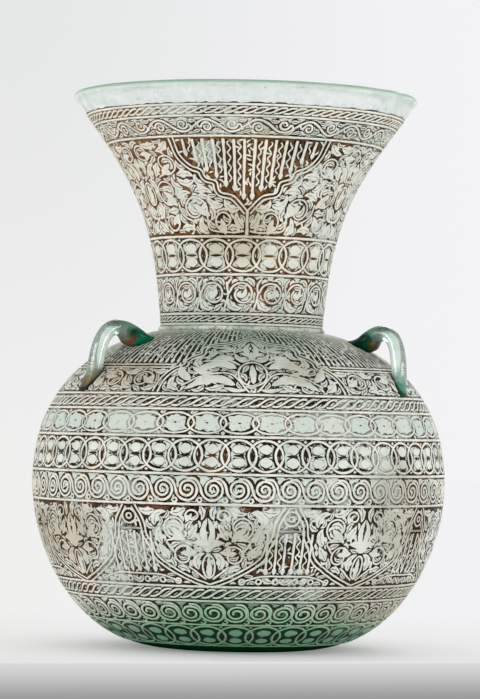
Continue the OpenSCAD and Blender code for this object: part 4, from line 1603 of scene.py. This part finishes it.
def seen_rays(graph):
    """1 for rays that show the backdrop: from the camera, from gloss and through glass."""
    path = graph.node("ShaderNodeLightPath", output="Is Camera Ray")
    return path.math("MAXIMUM", path.out("Is Glossy Ray")).math("MAXIMUM", path.out("Is Transmission Ray"))


class LAMP_OT_stage(LampOperator, Operator):
    """Set up the floor, the lights and the camera"""

    bl_idname = "lamp.stage"
    bl_label = "Stage"

    def execute(self, context):
        stage = context.scene.lamp_stage
        self.floor(stage)
        self.world(context, stage)
        self.lights(stage)
        self.camera(context)
        context.scene.view_settings.view_transform = "Standard"
        return {"FINISHED"}

    @staticmethod
    def floor(stage):
        """A wide step: the lamp stands on the upper floor, close to its front edge."""
        front, skew, drop, reach = -0.122, 0.27, -0.08, 6.0
        section = [(reach, 0.0, 0.0), (front, skew, 0.0), (front, skew, drop), (-reach, 0.0, drop)]
        vertices = [(x, y + side * x, z) for y, side, z in section for x in (-reach, reach)]
        faces = [(2 * i, 2 * i + 1, 2 * i + 3, 2 * i + 2) for i in range(len(section) - 1)]
        mesh = bpy.data.meshes.new("floor")
        mesh.from_pydata(vertices, [], faces)
        piece = new_object("floor", mesh)
        made, graph, shader, coords = new_material("floor_paint")
        x, y, z = graph.split(coords)
        speck = graph.noise(coords, 300.0, 2.0)
        feed(graph, shader, Base_Color=graph.mix(speck * 0.04, tuple(stage.floor), srgb(200, 200, 198)),
             Roughness=0.6 + speck * 0.2)
        away = graph.ease((x * x + y * y).math("SQRT"), 0.03, 0.17) * 0.76 + 0.24
        away = away.math("MAXIMUM", graph.ease(z, 0.0, -0.0005))
        # The floor runs into the backdrop, its front face carries painted shade that darkens downwards, and
        # it is pale again below
        near = srgb(231, 232, 230)
        glow = graph.layered(
            tuple(stage.backdrop_low),
            (graph.ease(x, -0.2, 0.2), tuple(stage.backdrop_right)),
            (graph.ease(y, 0.4, -0.1), near),
            (graph.ease(z, 0.0, -0.0012), srgb(218, 218, 218)),
            (graph.ease(z, 0.002, -0.0245), tuple(stage.edge)),
            (graph.ease(z, -0.03, -0.055), near))
        light = graph.node("ShaderNodeEmission", None, {"Color": glow, "Strength": 1.0})
        set_surface(graph, made, away * seen_rays(graph), Wire(graph, shader.outputs["BSDF"]), light)
        paint(mesh, made)

    @staticmethod
    def world(context, stage):
        """Even light, and the plain backdrop for camera, glossy and transmission rays."""
        world = bpy.data.worlds.new("studio")
        world.use_nodes = True
        context.scene.world = world
        graph = Graph(world.node_tree)
        seen = seen_rays(graph)
        surface = world.node_tree.nodes["Background"]
        x, _, z = graph.split(graph.node("ShaderNodeTexCoord", output="Generated"))
        left = graph.mix(graph.ease(z, 0.14, -0.06), tuple(stage.backdrop_left), tuple(stage.backdrop_low))
        shade = graph.mix(graph.ease(x, -0.08, 0.08), left, tuple(stage.backdrop_right))
        graph.tree.links.new(shade.socket, surface.inputs["Color"])
        level = seen * (1.0 - stage.sky) + stage.sky
        graph.tree.links.new(level.socket, surface.inputs["Strength"])

    @staticmethod
    def lights(stage):
        """A large soft light at the front left, one at the right, and a weak one behind."""
        aim = Vector((0, 0, 0.16))
        for name, place, size, power in (("key", (-1.85, -1.2, 0.3), 1.6, stage.key),
                                         ("fill", (1.8, -1.15, 0.25), 1.5, stage.fill),
                                         ("back", (0.5, 1.9, 1.9), 1.4, stage.back)):
            lamp = bpy.data.lights.new(name, "AREA")
            lamp.size = size
            lamp.energy = power
            made = new_object(name, lamp)
            made.location = place
            made.rotation_euler = (aim - Vector(place)).to_track_quat("-Z", "Y").to_euler()

    @staticmethod
    def camera(context):
        """The photograph's view: eye level in pixels, focal length in pixels and a slight tilt."""
        middle_column, frame_height, focal, distance, eye = 240.0, 699.0, 3200.0, 1.92, 0.133
        axis_column, eye_row = 239.6, 425.0
        aside, below = axis_column - middle_column, eye_row - frame_height / 2
        horizon = Vector((aside, -below, -focal)).normalized()
        tilt = math.radians(1.125)
        up = Vector((math.sin(tilt), math.cos(tilt), 0.0))
        up = (up - horizon * up.dot(horizon)).normalized()
        seen = Matrix((horizon.cross(up), horizon, up))
        data = bpy.data.cameras.new("camera")
        data.sensor_width = 36.0
        data.lens = focal * data.sensor_width / frame_height
        data.clip_start, data.clip_end = 0.05, 30.0
        made = new_object("camera", data)
        made.matrix_world = Matrix.Translation((0.0, -distance, eye)) @ seen.to_4x4()
        context.scene.camera = made


OPERATORS = (LAMP_OT_glass, LAMP_OT_handles, LAMP_OT_borders, LAMP_OT_ropes, LAMP_OT_chains, LAMP_OT_scrolls,
             LAMP_OT_fields, LAMP_OT_light, LAMP_OT_stage)


class LAMP_PT_sidebar(Panel):
    """Sidebar list of the lamp's steps"""

    bl_idname = "LAMP_PT_sidebar"
    bl_label = "Mosque Lamp"
    bl_space_type = "VIEW_3D"
    bl_region_type = "UI"
    bl_category = "Mosque Lamp"

    def draw(self, context):
        for operator in OPERATORS:
            self.layout.operator(operator.bl_idname)
        for settings in (context.scene.lamp_enamel, context.scene.lamp_glass, context.scene.lamp_stage):
            box = self.layout.box()
            for name in settings.__annotations__:
                box.prop(settings, name)


SETTINGS = {
    "lamp_enamel": LampEnamelSettings,
    "lamp_glass": LampGlassSettings,
    "lamp_stage": LampStageSettings,
}


def register():
    for settings in SETTINGS.values():
        bpy.utils.register_class(settings)
    for name, settings in SETTINGS.items():
        setattr(bpy.types.Scene, name, PointerProperty(type=settings))
    for operator in (*OPERATORS, LAMP_PT_sidebar):
        bpy.utils.register_class(operator)


def unregister():
    for operator in (LAMP_PT_sidebar, *reversed(OPERATORS)):
        bpy.utils.unregister_class(operator)
    for name in SETTINGS:
        delattr(bpy.types.Scene, name)
    for settings in reversed(SETTINGS.values()):
        bpy.utils.unregister_class(settings)


def main():
    register()
    for operator in OPERATORS:
        group, name = operator.bl_idname.split(".")
        getattr(getattr(bpy.ops, group), name)()
    for aid in workshop().drawing_aids():
        bpy.data.objects.remove(aid)


if __name__ == "__main__":
    main()
